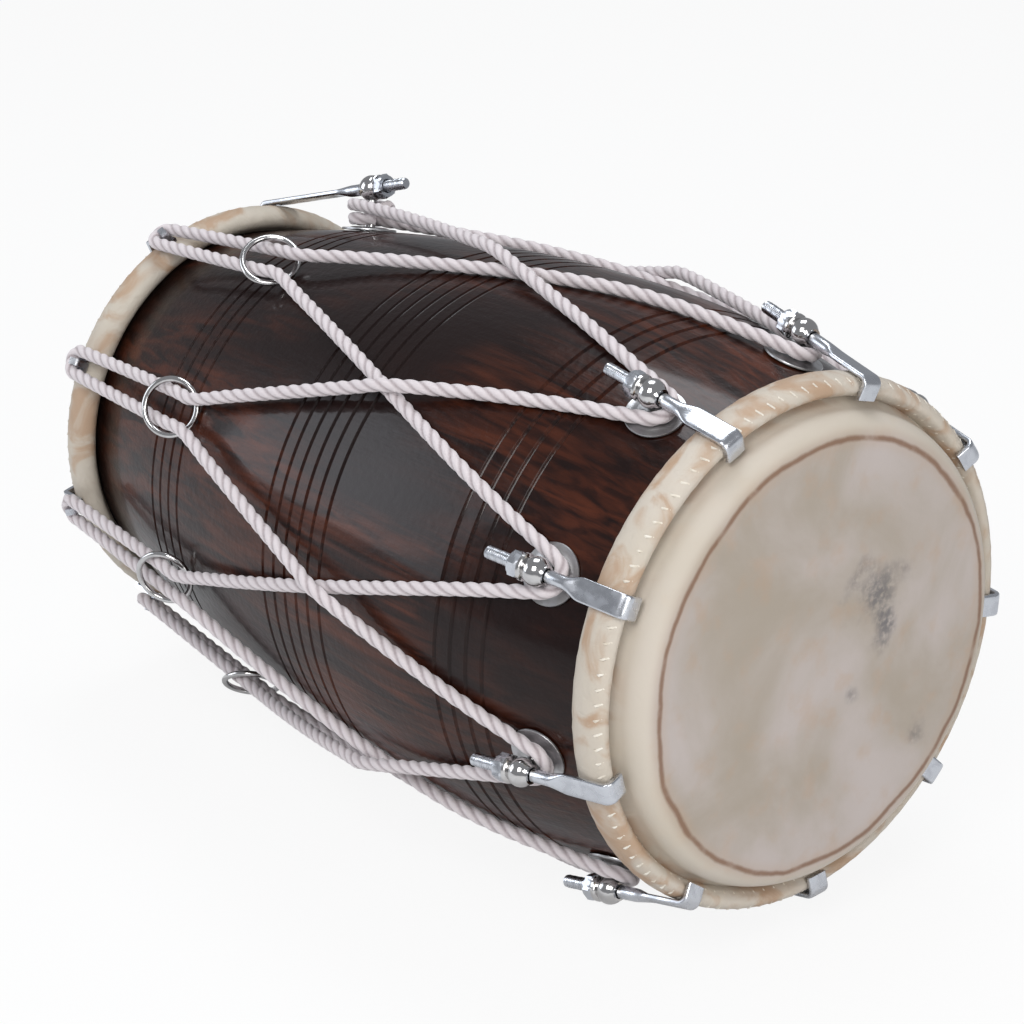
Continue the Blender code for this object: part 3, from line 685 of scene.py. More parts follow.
@dataclass
class Head:
    """One hide and the roll that holds it."""

    drum: DrumFrame
    hoop: Hoop
    node: str
    finish: Hide
    steps: int = 216
    puckers: int = 72
    pucker_depth: float = 0.35 * MM
    stitches: int = 0
    stitch_length: float = 9 * MM
    stitch_wire: float = 0.55 * MM

    def section(self) -> list[tuple[float, float]]:
        """(x, radius) of the face, the edge, the lap and the inside."""
        hoop = self.hoop
        outside = BARREL.mouth(hoop.face, hoop.inward, GAP + SKIN)
        inside = BARREL.mouth(hoop.face, hoop.inward, GAP)
        face = outside[0][0]
        rim = outside[0][1]
        disc = [(face, rim * share) for share in (0.0, 0.25, 0.5, 0.7, 0.85, 0.95)]
        lap = [hoop.point(degrees) for degrees in range(-80, 252, 12)]
        foot_x = hoop.x + hoop.inward * 0.25 * hoop.width / 2
        foot = (foot_x, BARREL.radius(foot_x) + 1.6 * GAP)
        back = [(inside[0][0], rim * share) for share in (0.95, 0.6, 0.0)]
        return disc + outside + lap + [foot] + inside[::-1] + back

    def build(self) -> bpy.types.Object:
        """Revolve the section, with small puckers where the hide is gathered round the hoop."""
        points, faces = lathe(self.section(), self.steps, False)
        hoop = self.hoop
        for point in points:
            radius = math.hypot(point.y, point.z)
            on_lap = radius > hoop.middle - hoop.thickness * 0.2
            if not on_lap:
                continue
            angle = math.atan2(-point.y, point.z)
            wave = math.sin(self.puckers * angle) * 0.6 + math.sin(1.37 * self.puckers * angle + 1.0) * 0.4
            shrink = 1 - self.pucker_depth * (0.5 + 0.5 * wave) / radius
            point.y *= shrink
            point.z *= shrink
        shape = Shape()
        shape.add(points, faces, self.drum.matrix)
        made = recalculated(shape.piece(f"{self.node}_hide", 60))
        inverse = self.drum.matrix.inverted()
        layer = made.data.attributes.new("from_axis", "FLOAT", "POINT")
        local = [inverse @ vert.co for vert in made.data.vertices]
        layer.data.foreach_set("value", [math.hypot(point.y, point.z) for point in local])
        return made

    def stitch_tree(self) -> bpy.types.NodeTree:
        """Geometry Nodes: one bent stitch on each point of a circle of holes."""
        tree = bpy.data.node_groups.new(f"{self.node}_stitching", "GeometryNodeTree")
        face = tree.interface
        sizes = {
            "Radius": self.hoop.middle - 0.5 * MM,
            "Length": self.stitch_length,
            "Wire": self.stitch_wire,
        }
        sockets = {}
        for name, value in sizes.items():
            sockets[name] = face.new_socket(name, in_out="INPUT", socket_type="NodeSocketFloat")
            sockets[name].default_value = value
        face.new_socket("Geometry", in_out="OUTPUT", socket_type="NodeSocketGeometry")
        add = tree.nodes.new
        inputs, output = add("NodeGroupInput"), add("NodeGroupOutput")
        circle = add("GeometryNodeCurvePrimitiveCircle")
        circle.inputs["Resolution"].default_value = self.stitches
        line = add("GeometryNodeCurvePrimitiveLine")
        line.mode = "DIRECTION"
        line.inputs["Start"].default_value = (0, 0, 0)
        line.inputs["Direction"].default_value = (0.75, 0.0, 1.0)
        resample = add("GeometryNodeResampleCurve")
        resample.inputs["Count"].default_value = 5
        bend = add("GeometryNodeSetPosition")
        place, split = add("GeometryNodeInputPosition"), add("ShaderNodeSeparateXYZ")
        arch, join = add("ShaderNodeMath"), add("ShaderNodeCombineXYZ")
        half, wave = add("ShaderNodeMath"), add("ShaderNodeMath")
        half.operation, half.inputs[1].default_value = "MULTIPLY", math.pi / (self.stitch_length * 0.8)
        wave.operation = "SINE"
        arch.operation, arch.inputs[1].default_value = "MULTIPLY", 1.1 * MM
        section = add("GeometryNodeCurvePrimitiveCircle")
        section.inputs["Resolution"].default_value = 6
        tube = add("GeometryNodeCurveToMesh")
        tube.inputs["Fill Caps"].default_value = True
        instance = add("GeometryNodeInstanceOnPoints")
        tangent, aim = add("GeometryNodeInputTangent"), add("FunctionNodeAlignEulerToVector")
        aim.axis = "X"
        aim.pivot_axis = "Z"
        capture = add("GeometryNodeCaptureAttribute")
        capture.capture_items.new("VECTOR", "tangent")
        realize, paint = add("GeometryNodeRealizeInstances"), add("GeometryNodeSetMaterial")
        paint.inputs["Material"].default_value = THREAD.material()
        link = tree.links.new
        link(inputs.outputs["Radius"], circle.inputs["Radius"])
        link(inputs.outputs["Length"], line.inputs["Length"])
        link(inputs.outputs["Wire"], section.inputs["Radius"])
        link(line.outputs[0], resample.inputs["Curve"])
        link(resample.outputs[0], bend.inputs["Geometry"])
        link(place.outputs[0], split.inputs[0])
        link(split.outputs["Z"], half.inputs[0])
        link(half.outputs[0], wave.inputs[0])
        link(wave.outputs[0], arch.inputs[0])
        link(arch.outputs[0], join.inputs["Y"])
        link(join.outputs[0], bend.inputs["Offset"])
        link(bend.outputs[0], tube.inputs["Curve"])
        link(section.outputs[0], tube.inputs["Profile Curve"])
        link(circle.outputs[0], capture.inputs[0])
        link(tangent.outputs[0], capture.inputs[1])
        link(capture.outputs[1], aim.inputs["Vector"])
        link(capture.outputs[0], instance.inputs["Points"])
        link(tube.outputs[0], instance.inputs["Instance"])
        link(aim.outputs[0], instance.inputs["Rotation"])
        link(instance.outputs[0], realize.inputs[0])
        link(realize.outputs[0], paint.inputs["Geometry"])
        link(paint.outputs[0], output.inputs[0])
        return tree

    def stitching(self) -> bpy.types.Object:
        """Evaluate the stitches, move each onto the front of the roll and keep a plain mesh."""
        carrier = bpy.data.objects.new("stitch_carrier", bpy.data.meshes.new("stitch_carrier"))
        bpy.context.scene.collection.objects.link(carrier)
        modifier = carrier.modifiers.new("stitches", "NODES")
        modifier.node_group = self.stitch_tree()
        graph = bpy.context.evaluated_depsgraph_get()
        mesh = bpy.data.meshes.new_from_object(carrier.evaluated_get(graph))
        bpy.data.objects.remove(carrier)
        hoop = self.hoop
        for vert in mesh.vertices:
            x, y, z = vert.co
            radius = math.hypot(x, y)
            angle = math.atan2(y, x)
            along = z / (self.stitch_length * 0.8)
            sweep = -52 + 100 * along
            surface_x, surface_r = hoop.point(sweep, 0.15 * MM + (radius - hoop.middle) * 0.35)
            vert.co = Vector((surface_x, surface_r * math.cos(angle), surface_r * math.sin(angle)))
        mesh.transform(self.drum.matrix)
        mesh.shade_smooth()
        made = bpy.data.objects.new(f"{self.node}_stitches", mesh)
        bpy.context.scene.collection.objects.link(made)
        return recalculated(made)

    def dress(self) -> None:
        """Dress the hide, and the stitches where the head has them."""
        dress(self.build(), self.finish, Slot.HIDE, "drum", self.node)
        if self.stitches:
            dress(self.stitching(), THREAD, Slot.HIDE, "drum")


@dataclass
class Hook:
    """Threaded rod, strap and claw."""

    drum: DrumFrame
    number: int
    claw: float
    past_eye: float = 26.3 * MM
    strap: tuple[float, float] = (10.5 * MM, 2.6 * MM)
    strap_starts: float = 15 * MM
    taper: float = 9 * MM
    bend: float = 3.3 * MM
    claw_length: float = 9.5 * MM
    round_points: int = 32
    pitch: float = 1 * MM
    thread_depth: float = 0.24 * MM

    @property
    def body(self) -> str:
        """Name of the body, which is also the node."""
        return f"tuning_hook_{self.number}" if self.number else "anchor_hook"

    @property
    def nut(self) -> str:
        """Name of the nut on this rod."""
        return f"hook_nut_{self.number}" if self.number else "anchor_nut"

    def ring(self, place: Vector, up: Vector, share: float, radius: float) -> list[Vector]:
        """Section between the round rod and the flat strap.

        Args:
            place: middle of the section.
            up: the strap's outward direction.
            share: 0 for the rod, 1 for the strap.
            radius: radius of the rod.

        Returns:
            The points of the section.
        """
        across = Vector((1, 0, 0))
        half_width, half_thickness = self.strap[0] / 2, self.strap[1] / 2
        points = []
        for i in range(self.round_points):
            angle = 2 * math.pi * (i + 0.5) / self.round_points
            cosine, sine = math.cos(angle), math.sin(angle)
            flat_x = half_width * math.copysign(abs(cosine) ** 0.35, cosine)
            flat_y = half_thickness * math.copysign(abs(sine) ** 0.45, sine)
            x = radius * cosine * (1 - share) + flat_x * share
            y = radius * sine * (1 - share) + flat_y * share
            points.append(place + across * x + up * y)
        return points

    def build(self) -> bpy.types.Object:
        """Loft the hook from its threaded end to the tip of the claw."""
        up, back = Vector((0, 1, 0)), Vector((0, 0, 1))
        core = ROD / 2 - self.thread_depth
        rings = [
            self.ring(back * self.past_eye, up, 0, core - 0.5 * MM),
            self.ring(back * (self.past_eye - 0.6 * MM), up, 0, core),
            self.ring(back * -6 * MM, up, 0, core),
            self.ring(back * -6.4 * MM, up, 0, ROD / 2),
            self.ring(back * -self.strap_starts, up, 0, ROD / 2),
        ]
        for i in range(1, 7):
            share = i / 6
            smooth = share * share * (3 - 2 * share)
            rings.append(self.ring(back * -(self.strap_starts + self.taper * share), up, smooth, ROD / 2))
        for i in range(9):
            angle = math.pi / 2 * i / 8
            place = back * -(self.claw - self.bend + self.bend * math.sin(angle))
            place += up * (self.bend * math.cos(angle) - self.bend)
            rings.append(self.ring(place, up * math.cos(angle) - back * math.sin(angle), 1, ROD / 2))
        rings.append(self.ring(back * -self.claw - up * self.claw_length, -back, 1, ROD / 2))
        shape = Shape()
        shape.add(*skin(rings), self.drum.eye(self.nut))
        return recalculated(shape.piece(self.body + "_forging", 35))

    def thread_tree(self) -> bpy.types.NodeTree:
        """Geometry Nodes: a helix with a pointed section."""
        existing = bpy.data.node_groups.get("rod_thread")
        if existing:
            return existing
        tree = bpy.data.node_groups.new("rod_thread", "GeometryNodeTree")
        for name in ("Radius", "Pitch", "Height"):
            tree.interface.new_socket(name, in_out="INPUT", socket_type="NodeSocketFloat")
        tree.interface.new_socket("Geometry", in_out="OUTPUT", socket_type="NodeSocketGeometry")
        add, link = tree.nodes.new, tree.links.new
        inputs, output = add("NodeGroupInput"), add("NodeGroupOutput")
        spiral = add("GeometryNodeCurveSpiral")
        spiral.inputs["Resolution"].default_value = 20
        turns = add("ShaderNodeMath")
        turns.operation = "DIVIDE"
        section = add("GeometryNodeCurvePrimitiveCircle")
        section.inputs["Resolution"].default_value = 4
        section.inputs["Radius"].default_value = 0.5 * self.pitch
        tube = add("GeometryNodeCurveToMesh")
        tube.inputs["Fill Caps"].default_value = True
        realize, paint = add("GeometryNodeRealizeInstances"), add("GeometryNodeSetMaterial")
        paint.inputs["Material"].default_value = ZINC.material()
        link(inputs.outputs["Height"], turns.inputs[0])
        link(inputs.outputs["Pitch"], turns.inputs[1])
        link(turns.outputs[0], spiral.inputs["Rotations"])
        link(inputs.outputs["Radius"], spiral.inputs["Start Radius"])
        link(inputs.outputs["Radius"], spiral.inputs["End Radius"])
        link(inputs.outputs["Height"], spiral.inputs["Height"])
        link(spiral.outputs[0], tube.inputs["Curve"])
        link(section.outputs[0], tube.inputs["Profile Curve"])
        link(tube.outputs[0], realize.inputs[0])
        link(realize.outputs[0], paint.inputs["Geometry"])
        link(paint.outputs[0], output.inputs[0])
        return tree

    def thread(self) -> bpy.types.Object:
        """Screw thread on the free end of the rod, as a plain mesh."""
        carrier = bpy.data.objects.new("thread_carrier", bpy.data.meshes.new("thread_carrier"))
        bpy.context.scene.collection.objects.link(carrier)
        modifier = carrier.modifiers.new("thread", "NODES")
        modifier.node_group = self.thread_tree()
        start = -5.5 * MM
        sizes = {
            "Radius": ROD / 2 - 0.5 * self.pitch,
            "Pitch": self.pitch,
            "Height": self.past_eye - 1.2 * MM - start,
        }
        for item in modifier.node_group.interface.items_tree:
            if item.in_out == "INPUT":
                modifier[item.identifier] = sizes[item.name]
        graph = bpy.context.evaluated_depsgraph_get()
        mesh = bpy.data.meshes.new_from_object(carrier.evaluated_get(graph))
        bpy.data.objects.remove(carrier)
        mesh.transform(self.drum.eye(self.nut) @ Matrix.Translation((0, 0, start)))
        made = bpy.data.objects.new(self.body + "_thread", mesh)
        bpy.context.scene.collection.objects.link(made)
        return recalculated(made)

    def dress(self) -> None:
        """Dress the forging and its thread."""
        dress(self.build(), ZINC, Slot.ZINC, self.body, self.body)
        dress(self.thread(), ZINC, Slot.ZINC, self.body)


@dataclass
class Nut:
    """Hexagon nut with chamfered corners."""

    drum: DrumFrame
    name: str
    across_flats: float = 11 * MM
    chamfer: float = 0.8 * MM
    bore: float = 3.3 * MM
    sides: int = 48

    def build(self) -> bpy.types.Object:
        """Stack rings whose radius follows the hexagon, cut by the chamfer cone."""
        levels = ((0.0, 0.9), (self.chamfer, 1.2), (NUT_THICKNESS - self.chamfer, 1.2), (NUT_THICKNESS, 0.9))
        flat = self.across_flats / 2
        rings = []
        for height, limit in levels:
            cone = flat * (limit + 0.08)
            rings.append(self.loop(height, lambda angle, top=cone: min(self.hexagon(angle), top)))
        lead = 0.4 * MM
        inside = (
            (NUT_THICKNESS, self.bore + lead),
            (NUT_THICKNESS - lead, self.bore),
            (lead, self.bore),
            (0.0, self.bore + lead),
        )
        for height, radius in inside:
            rings.append(self.loop(height, lambda angle, r=radius: r))
        shape = Shape()
        shape.add(*skin(rings, False, True), self.drum.eye(self.name) @ Matrix.Translation((0, 0, NUT_START)))
        return recalculated(shape.piece(self.name + "_hexagon", 20))

    def hexagon(self, angle: float) -> float:
        """Radius of the hexagon at an angle."""
        sector = math.pi / 3
        return self.across_flats / 2 / math.cos((angle + math.pi / 6) % sector - sector / 2)

    def loop(self, height: float, radius_of) -> list[Vector]:
        """Ring of points at one height."""
        points = []
        for i in range(self.sides):
            angle = 2 * math.pi * i / self.sides
            radius = radius_of(angle)
            points.append(Vector((radius * math.cos(angle), radius * math.sin(angle), height)))
        return points

    def dress(self) -> None:
        """Dress the nut."""
        dress(self.build(), ZINC, Slot.ZINC, self.name, self.name)


@dataclass
class Fixings:
    """Eye bolts and cup washers, which stay on the drum."""

    drum: DrumFrame
    ball: float = 13.2 * MM
    bore: float = 3.3 * MM
    collar: float = 12.4 * MM
    washer: float = 27.5 * MM
    washer_height: float = 1.7 * MM

    def places(self) -> list[tuple[str, Matrix, float]]:
        """Suffix, base frame and eye height of every bolt."""
        made = []
        for i in range(STATIONS):
            made.append((f"hook_nut_{i + 1}", surface_frame(-EYE_FROM_BASS, station_angle(i)), 12.8 * MM))
        return made + [("anchor_nut", surface_frame(ANCHOR_X, station_angle(0)), 21.5 * MM)]

    def balls(self) -> bpy.types.Object:
        """Turned balls with a collar, each with its post and the nut inside the shell."""
        half = EYE_LENGTH / 2
        profile = [(-half, self.bore), (-half, self.bore + 1.0 * MM)]
        for i in range(1, 14):
            angle = math.pi * i / 14
            radius = self.ball / 2 * math.sin(angle) ** 0.75
            if radius > self.bore + 1.2 * MM:
                profile.append((-half * math.cos(angle), radius))
        collar = self.collar / 2
        profile += [
            (half - 0.6 * MM, collar - 0.3 * MM),
            (half - 0.3 * MM, collar),
            (half + EYE_COLLAR_THICKNESS - 0.3 * MM, collar),
            (half + EYE_COLLAR_THICKNESS, collar - 0.3 * MM),
            (half + EYE_COLLAR_THICKNESS, self.bore),
        ]
        turn = Matrix.Rotation(-math.pi / 2, 4, "Y")
        shape = Shape()
        for nut, base, height in self.places():
            shape.add(*lathe(profile, 40, True), self.drum.eye(nut) @ turn)
            top = height - self.ball / 2 + 0.6 * MM
            post = [(top, 3 * MM), (-13.8 * MM, 3 * MM), (-13.8 * MM, 6.3 * MM), (-18.3 * MM, 6.3 * MM)]
            rings = [[Vector((r * math.cos(a), r * math.sin(a), z)) for a in angles(24)] for z, r in post]
            shape.add(*skin(rings), self.drum.matrix @ base)
        return recalculated(shape.piece("eye_bolt_balls", 35))

    def cups(self) -> bpy.types.Object:
        """Spun washers with a raised middle and a thin rim."""
        profile = [
            (GAP, 3.3 * MM),
            (GAP + self.washer_height, 3.3 * MM),
            (GAP + self.washer_height, 8.0 * MM),
            (GAP + self.washer_height - 0.15 * MM, 8.9 * MM),
            (GAP + 1.05 * MM, 10.2 * MM),
            (GAP + 0.9 * MM, 11.5 * MM),
            (GAP + 0.9 * MM, self.washer / 2 - 0.2 * MM),
            (GAP + 0.6 * MM, self.washer / 2),
            (GAP, self.washer / 2),
        ]
        turn = Matrix.Rotation(-math.pi / 2, 4, "Y")
        shape = Shape()
        for _, base, _ in self.places():
            shape.add(*lathe(profile, 64, True), self.drum.matrix @ base @ turn)
        return recalculated(shape.piece("cup_washer_set", 35))

    def dress(self) -> None:
        """Dress both sets."""
        numbers = range(1, STATIONS + 1)
        bolts = [f"eye_bolt_{i}" for i in numbers] + ["anchor_eye_bolt"]
        washers = [f"cup_washer_{i}" for i in numbers] + ["anchor_washer"]
        dress(self.balls(), NICKEL, Slot.NICKEL, "drum", *bolts)
        dress(self.cups(), DULL_STEEL, Slot.GALVANISED, "drum", *washers)


def angles(count: int) -> list[float]:
    """Evenly spaced angles of a circle."""
    return [2 * math.pi * i / count for i in range(count)]


@dataclass
class Clips:
    """Bent straps over the treble hoop, each with a tongue for the rope."""

    drum: DrumFrame
    width: float = 9 * MM
    leg: float = 12.5 * MM
    tongue_width: float = 3.5 * MM
    tongue_height: float = 8.2 * MM

    def strap(self) -> Faces:
        """Claw and leg, with a round outer bend."""
        face = -(TREBLE_HOOP.width / 2 + GAP)
        back = face - CLIP_THICKNESS
        seat = TREBLE_HOOP.outer + GAP
        low = TREBLE_HOOP.middle - 3 * MM
        end = face + self.leg + CLIP_THICKNESS / 2
        outline = [(face, low), (back, low)]
        for i in range(7):
            angle = math.pi / 2 * i / 6
            x = back + CLIP_THICKNESS * (1 - math.cos(angle))
            outline.append((x, CLIP_TOP - CLIP_THICKNESS * (1 - math.sin(angle))))
        outline += [(end, CLIP_TOP), (end, seat), (face, seat)]
        rings = [[Vector((x, side * self.width / 2, z)) for x, z in outline] for side in (-1, 1)]
        return skin(rings)

    def tongue(self) -> Faces:
        """Narrow tongue that rises between the strands and leans back over them."""
        x = TONGUE_X - TREBLE_HOOP.x
        path = [
            (x, CLIP_TOP - 1.5 * MM, 0.0),
            (x, CLIP_TOP + 3.5 * MM, 0.0),
            (x - 0.8 * MM, CLIP_TOP + 5.6 * MM, 35.0),
            (x - 2.4 * MM, CLIP_TOP + 7.3 * MM, 55.0),
        ]
        rings = []
        half, thick = self.tongue_width / 2, 0.9 * MM
        for px, pz, lean in path:
            angle = math.radians(lean)
            out = Vector((math.cos(angle), 0, math.sin(angle)))
            centre = Vector((px, 0, pz))
            side = Vector((0, half, 0))
            front, rear = centre + out * thick, centre - out * thick
            rings.append([front + side, rear + side, rear - side, front - side])
        return skin(rings)

    def dress(self) -> None:
        """Build all clips as one piece and dress it."""
        shape = Shape()
        for index in range(1, STATIONS):
            angle = station_angle(index)
            out = radial(angle)
            along = Vector((1, 0, 0))
            place = frame_of(along, out.cross(along), out, Vector((TREBLE_HOOP.x, 0, 0)))
            shape.add(*self.strap(), self.drum.matrix @ place)
            shape.add(*self.tongue(), self.drum.matrix @ place)
        made = recalculated(shape.piece("rope_clip_set", 35))
        dress(made, ZINC, Slot.ZINC, "drum", *[f"rope_clip_{i}" for i in range(2, STATIONS + 1)])


def ring_height() -> float:
    """Distance of a slide ring's middle from the axis."""
    low = RING_X + RING_MEAN * math.cos(RING_TILT)
    return BARREL.radius(low) + RING_WIRE / 2 + GAP + RING_MEAN * math.sin(RING_TILT)


@dataclass
class SlideRing:
    """Round wire ring about two strands."""

    drum: DrumFrame
    number: int

    def build(self) -> bpy.types.Object:
        """Sweep the wire round the ring."""
        rings = []
        for turn in angles(72):
            out = Vector((math.cos(turn), math.sin(turn), 0))
            ring = []
            for a in angles(16):
                reach = RING_MEAN + RING_WIRE / 2 * math.cos(a)
                ring.append(out * reach + Vector((0, 0, RING_WIRE / 2 * math.sin(a))))
            rings.append(ring)
        angle = station_angle(self.number - 1)
        out = radial(angle)
        x_axis = Vector((math.cos(RING_TILT), 0, 0)) - out * math.sin(RING_TILT)
        z_axis = Vector((math.sin(RING_TILT), 0, 0)) + out * math.cos(RING_TILT)
        place = frame_of(x_axis, z_axis.cross(x_axis), z_axis, Vector((RING_X, 0, 0)) + out * ring_height())
        shape = Shape()
        shape.add(*skin(rings, False, True), self.drum.matrix @ place)
        return recalculated(shape.piece(f"slide_ring_{self.number}_wire"))

    def dress(self) -> None:
        """Dress the ring."""
        name = f"slide_ring_{self.number}"
        dress(self.build(), NICKEL, Slot.NICKEL, name, name)


@dataclass
class LacingRope:
    """One long twisted rope, twice round the drum."""

    drum: DrumFrame
    spacing: float = 30 * MM
    on_shell: float = ROPE / 2 + GAP
    on_washer: float = GAP + 1.7 * MM + 2 * GAP + ROPE / 2
    loop_radius: float = 3 * MM + ROPE / 2 + 1.9 * MM
    upper_slack: float = 0.9 * MM
    lift: float = ROPE + 0.5 * MM
    bight_radius: float = 3.5 * MM / 2 + 0.9 * MM + ROPE / 2
    strands: int = 3
    lay: float = 25 * MM
    groove: float = 0.24
    step: float = 0.95 * MM
    sides: int = 18
    parts: int = 2
    bight_height: float = field(default=CLIP_TOP + GAP + ROPE / 2)

    def wrapped(
        self, base: Matrix, height: float, start: float, stop: float, steps: int, radius: float
    ) -> list[Vector]:
        """Arc round a post, with degrees from the frame's X towards the next station."""
        points = []
        for i in range(steps + 1):
            angle = math.radians(start + (stop - start) * i / steps)
            points.append(base @ Vector((radius * math.cos(angle), -radius * math.sin(angle), height)))
        return points

    def polar(self, point: Vector, near: float) -> tuple[float, float, float]:
        """(x, radius, angle) of a point, with the angle close to a given one."""
        angle = math.atan2(-point.y, point.z)
        turns = round((near - angle) / (2 * math.pi))
        return point.x, math.hypot(point.y, point.z), angle + turns * 2 * math.pi

    def taut(self, places: list[float], floors: list[float]) -> list[float]:
        """Heights of a tight line over the floors."""
        outline: list[tuple[float, float]] = []
        for place in zip(places, floors):
            while len(outline) > 1:
                (x1, y1), (x2, y2) = outline[-2], outline[-1]
                if (y2 - y1) * (place[0] - x1) > (place[1] - y1) * (x2 - x1):
                    break
                outline.pop()
            outline.append(place)
        heights = []
        for x in places:
            for (x1, y1), (x2, y2) in zip(outline, outline[1:]):
                if x1 <= x <= x2:
                    heights.append(y1 + (y2 - y1) * (x - x1) / (x2 - x1))
                    break
        return heights

    def strand(
        self, start: tuple[float, float, float], finish: tuple[float, float, float], over: bool
    ) -> list[Vector]:
        """Points between two polar places, over or under the crossing strand."""
        steps = max(2, round(abs(finish[0] - start[0]) / self.spacing))
        shares = [i / steps for i in range(steps + 1)]
        pitch = 2 * math.pi / STATIONS
        middle = (start[2] + finish[2]) / 2
        crossing = FIRST_STATION + (math.floor((middle - FIRST_STATION) / pitch) + 0.5) * pitch
        crossing = (crossing - start[2]) / (finish[2] - start[2])
        nearest = min(range(1, steps), key=lambda i: abs(shares[i] - crossing))
        shares[nearest] = crossing
        xs = [start[0] + (finish[0] - start[0]) * share for share in shares]
        floors = [BARREL.radius(x) + self.on_shell for x in xs]
        floors[0], floors[-1] = start[1], finish[1]
        if over:
            floors[nearest] += self.lift
        heights = self.taut(xs[::-1], floors[::-1])[::-1] if xs[0] > xs[-1] else self.taut(xs, floors)
        points = []
        for i in range(1, steps):
            angle = start[2] + (finish[2] - start[2]) * shares[i]
            points.append(Vector((xs[i], 0, 0)) + radial(angle) * heights[i])
        return points

    def ring_passage(self, index: int, side: int) -> list[Vector]:
        """Straight run of a strand through its slide ring."""
        angle = station_angle(index)
        height = ring_height()
        slope = (height - self.bight_height) / (RING_X - TONGUE_X)
        offset = RING_MEAN * math.cos(math.pi / 14) - RING_WIRE / 2 - ROPE / 2 - 2 * GAP
        points = []
        for shift in (0.0, RING_MEAN * 1.15):
            radius = height + slope * shift
            turn = side * math.atan(offset / radius)
            points.append(Vector((RING_X + shift, 0, 0)) + radial(angle + turn) * (radius / math.cos(turn)))
        return points

    def clip_turn(self, index: int) -> list[Vector]:
        """Half turn round a clip's tongue."""
        out = radial(station_angle(index % STATIONS))
        origin = Vector((TONGUE_X, 0, 0)) + out * self.bight_height
        base = frame_of(Vector((1, 0, 0)), out.cross(Vector((1, 0, 0))), out, origin)
        return self.wrapped(base, 0.0, -90, -270, 6, self.bight_radius)

    def route(self) -> list[Vector]:
        """The whole route, from the anchor bolt and back to it."""
        anchor = surface_frame(ANCHOR_X, station_angle(0))
        outer = self.loop_radius + self.upper_slack
        route = self.wrapped(anchor, self.on_washer + self.lift, -20, -258, 8, outer)
        turns = 2 * STATIONS
        for index in range(turns):
            here, there = station_angle(index), station_angle(index + 1)
            if index % 2 == 0:
                base = surface_frame(-EYE_FROM_BASS, station_angle((index + 1) % STATIONS))
                following = self.wrapped(base, self.on_washer, -78, 78, 6, self.loop_radius)
                if index:
                    route += self.ring_passage(index, 1)
            elif index + 1 < turns:
                following = self.ring_passage(index + 1, -1)[::-1] + self.clip_turn(index + 1)
            else:
                following = self.wrapped(anchor, self.on_washer, -102, -340, 8, self.loop_radius)
            over = index < STATIONS
            route += self.strand(self.polar(route[-1], here), self.polar(following[0], there), over)
            route += following
        return route

    def smooth(self, points: list[Vector]) -> list[Vector]:
        """Even points along a rounded path through the route."""
        dense = []
        for i in range(len(points) - 1):
            before = points[max(i - 1, 0)]
            here, there = points[i], points[i + 1]
            after = points[min(i + 2, len(points) - 1)]
            length = (there - here).length
            count = max(2, math.ceil(length / self.step))
            left = (there - before).normalized() * length
            right = (after - here).normalized() * length
            for j in range(count):
                t = j / count
                a, b = 2 * t**3 - 3 * t**2 + 1, t**3 - 2 * t**2 + t
                dense.append(here * a + left * b + there * (1 - a) + right * (t**3 - t**2))
        dense.append(points[-1])
        return dense

    def build(self) -> list[bpy.types.Object]:
        """Sweep the twisted section; the rope is cut into parts to keep each mesh small."""
        path = self.smooth(self.route())
        rings, crests = [], []
        side = Vector((0, 0, 1)).cross(path[1] - path[0]).normalized()
        travelled = 0.0
        for i, point in enumerate(path):
            ahead = path[min(i + 1, len(path) - 1)] - path[max(i - 1, 0)]
            ahead.normalize()
            side = (side - ahead * side.dot(ahead)).normalized()
            up = ahead.cross(side)
            if i:
                travelled += (point - path[i - 1]).length
            ring, crest = [], []
            for angle in angles(self.sides):
                phase = self.strands * (angle - 2 * math.pi * travelled / self.lay) / 2
                lobe = abs(math.cos(phase))
                radius = ROPE / 2 * (1 - self.groove * (1 - lobe))
                ring.append(point + side * (radius * math.cos(angle)) + up * (radius * math.sin(angle)))
                crest.append(lobe)
            rings.append(ring)
            crests.append(crest)
        LOG.info("rope length %.3f m, %d rings", travelled, len(rings))
        share = math.ceil((len(rings) - 1) / self.parts)
        made = []
        for part in range(self.parts):
            low, high = part * share, min((part + 1) * share, len(rings) - 1) + 1
            shape = Shape()
            shape.add(*skin(rings[low:high]), self.drum.matrix)
            piece = shape.piece(f"lacing_rope_half_{part + 1}", 70)
            # The crest layer, 1 on a strand's crest and 0 in a groove, drives the painted groove shade in the
            # rope's material.
            layer = piece.data.attributes.new("crest", "FLOAT", "POINT")
            layer.data.foreach_set("value", [value for crest in crests[low:high] for value in crest])
            made.append(piece)
        return made

    def dress(self) -> None:
        """Dress both halves."""
        for piece in self.build():
            dress(piece, Cotton("white_cotton"), Slot.ROPE, "drum", "lacing_rope")


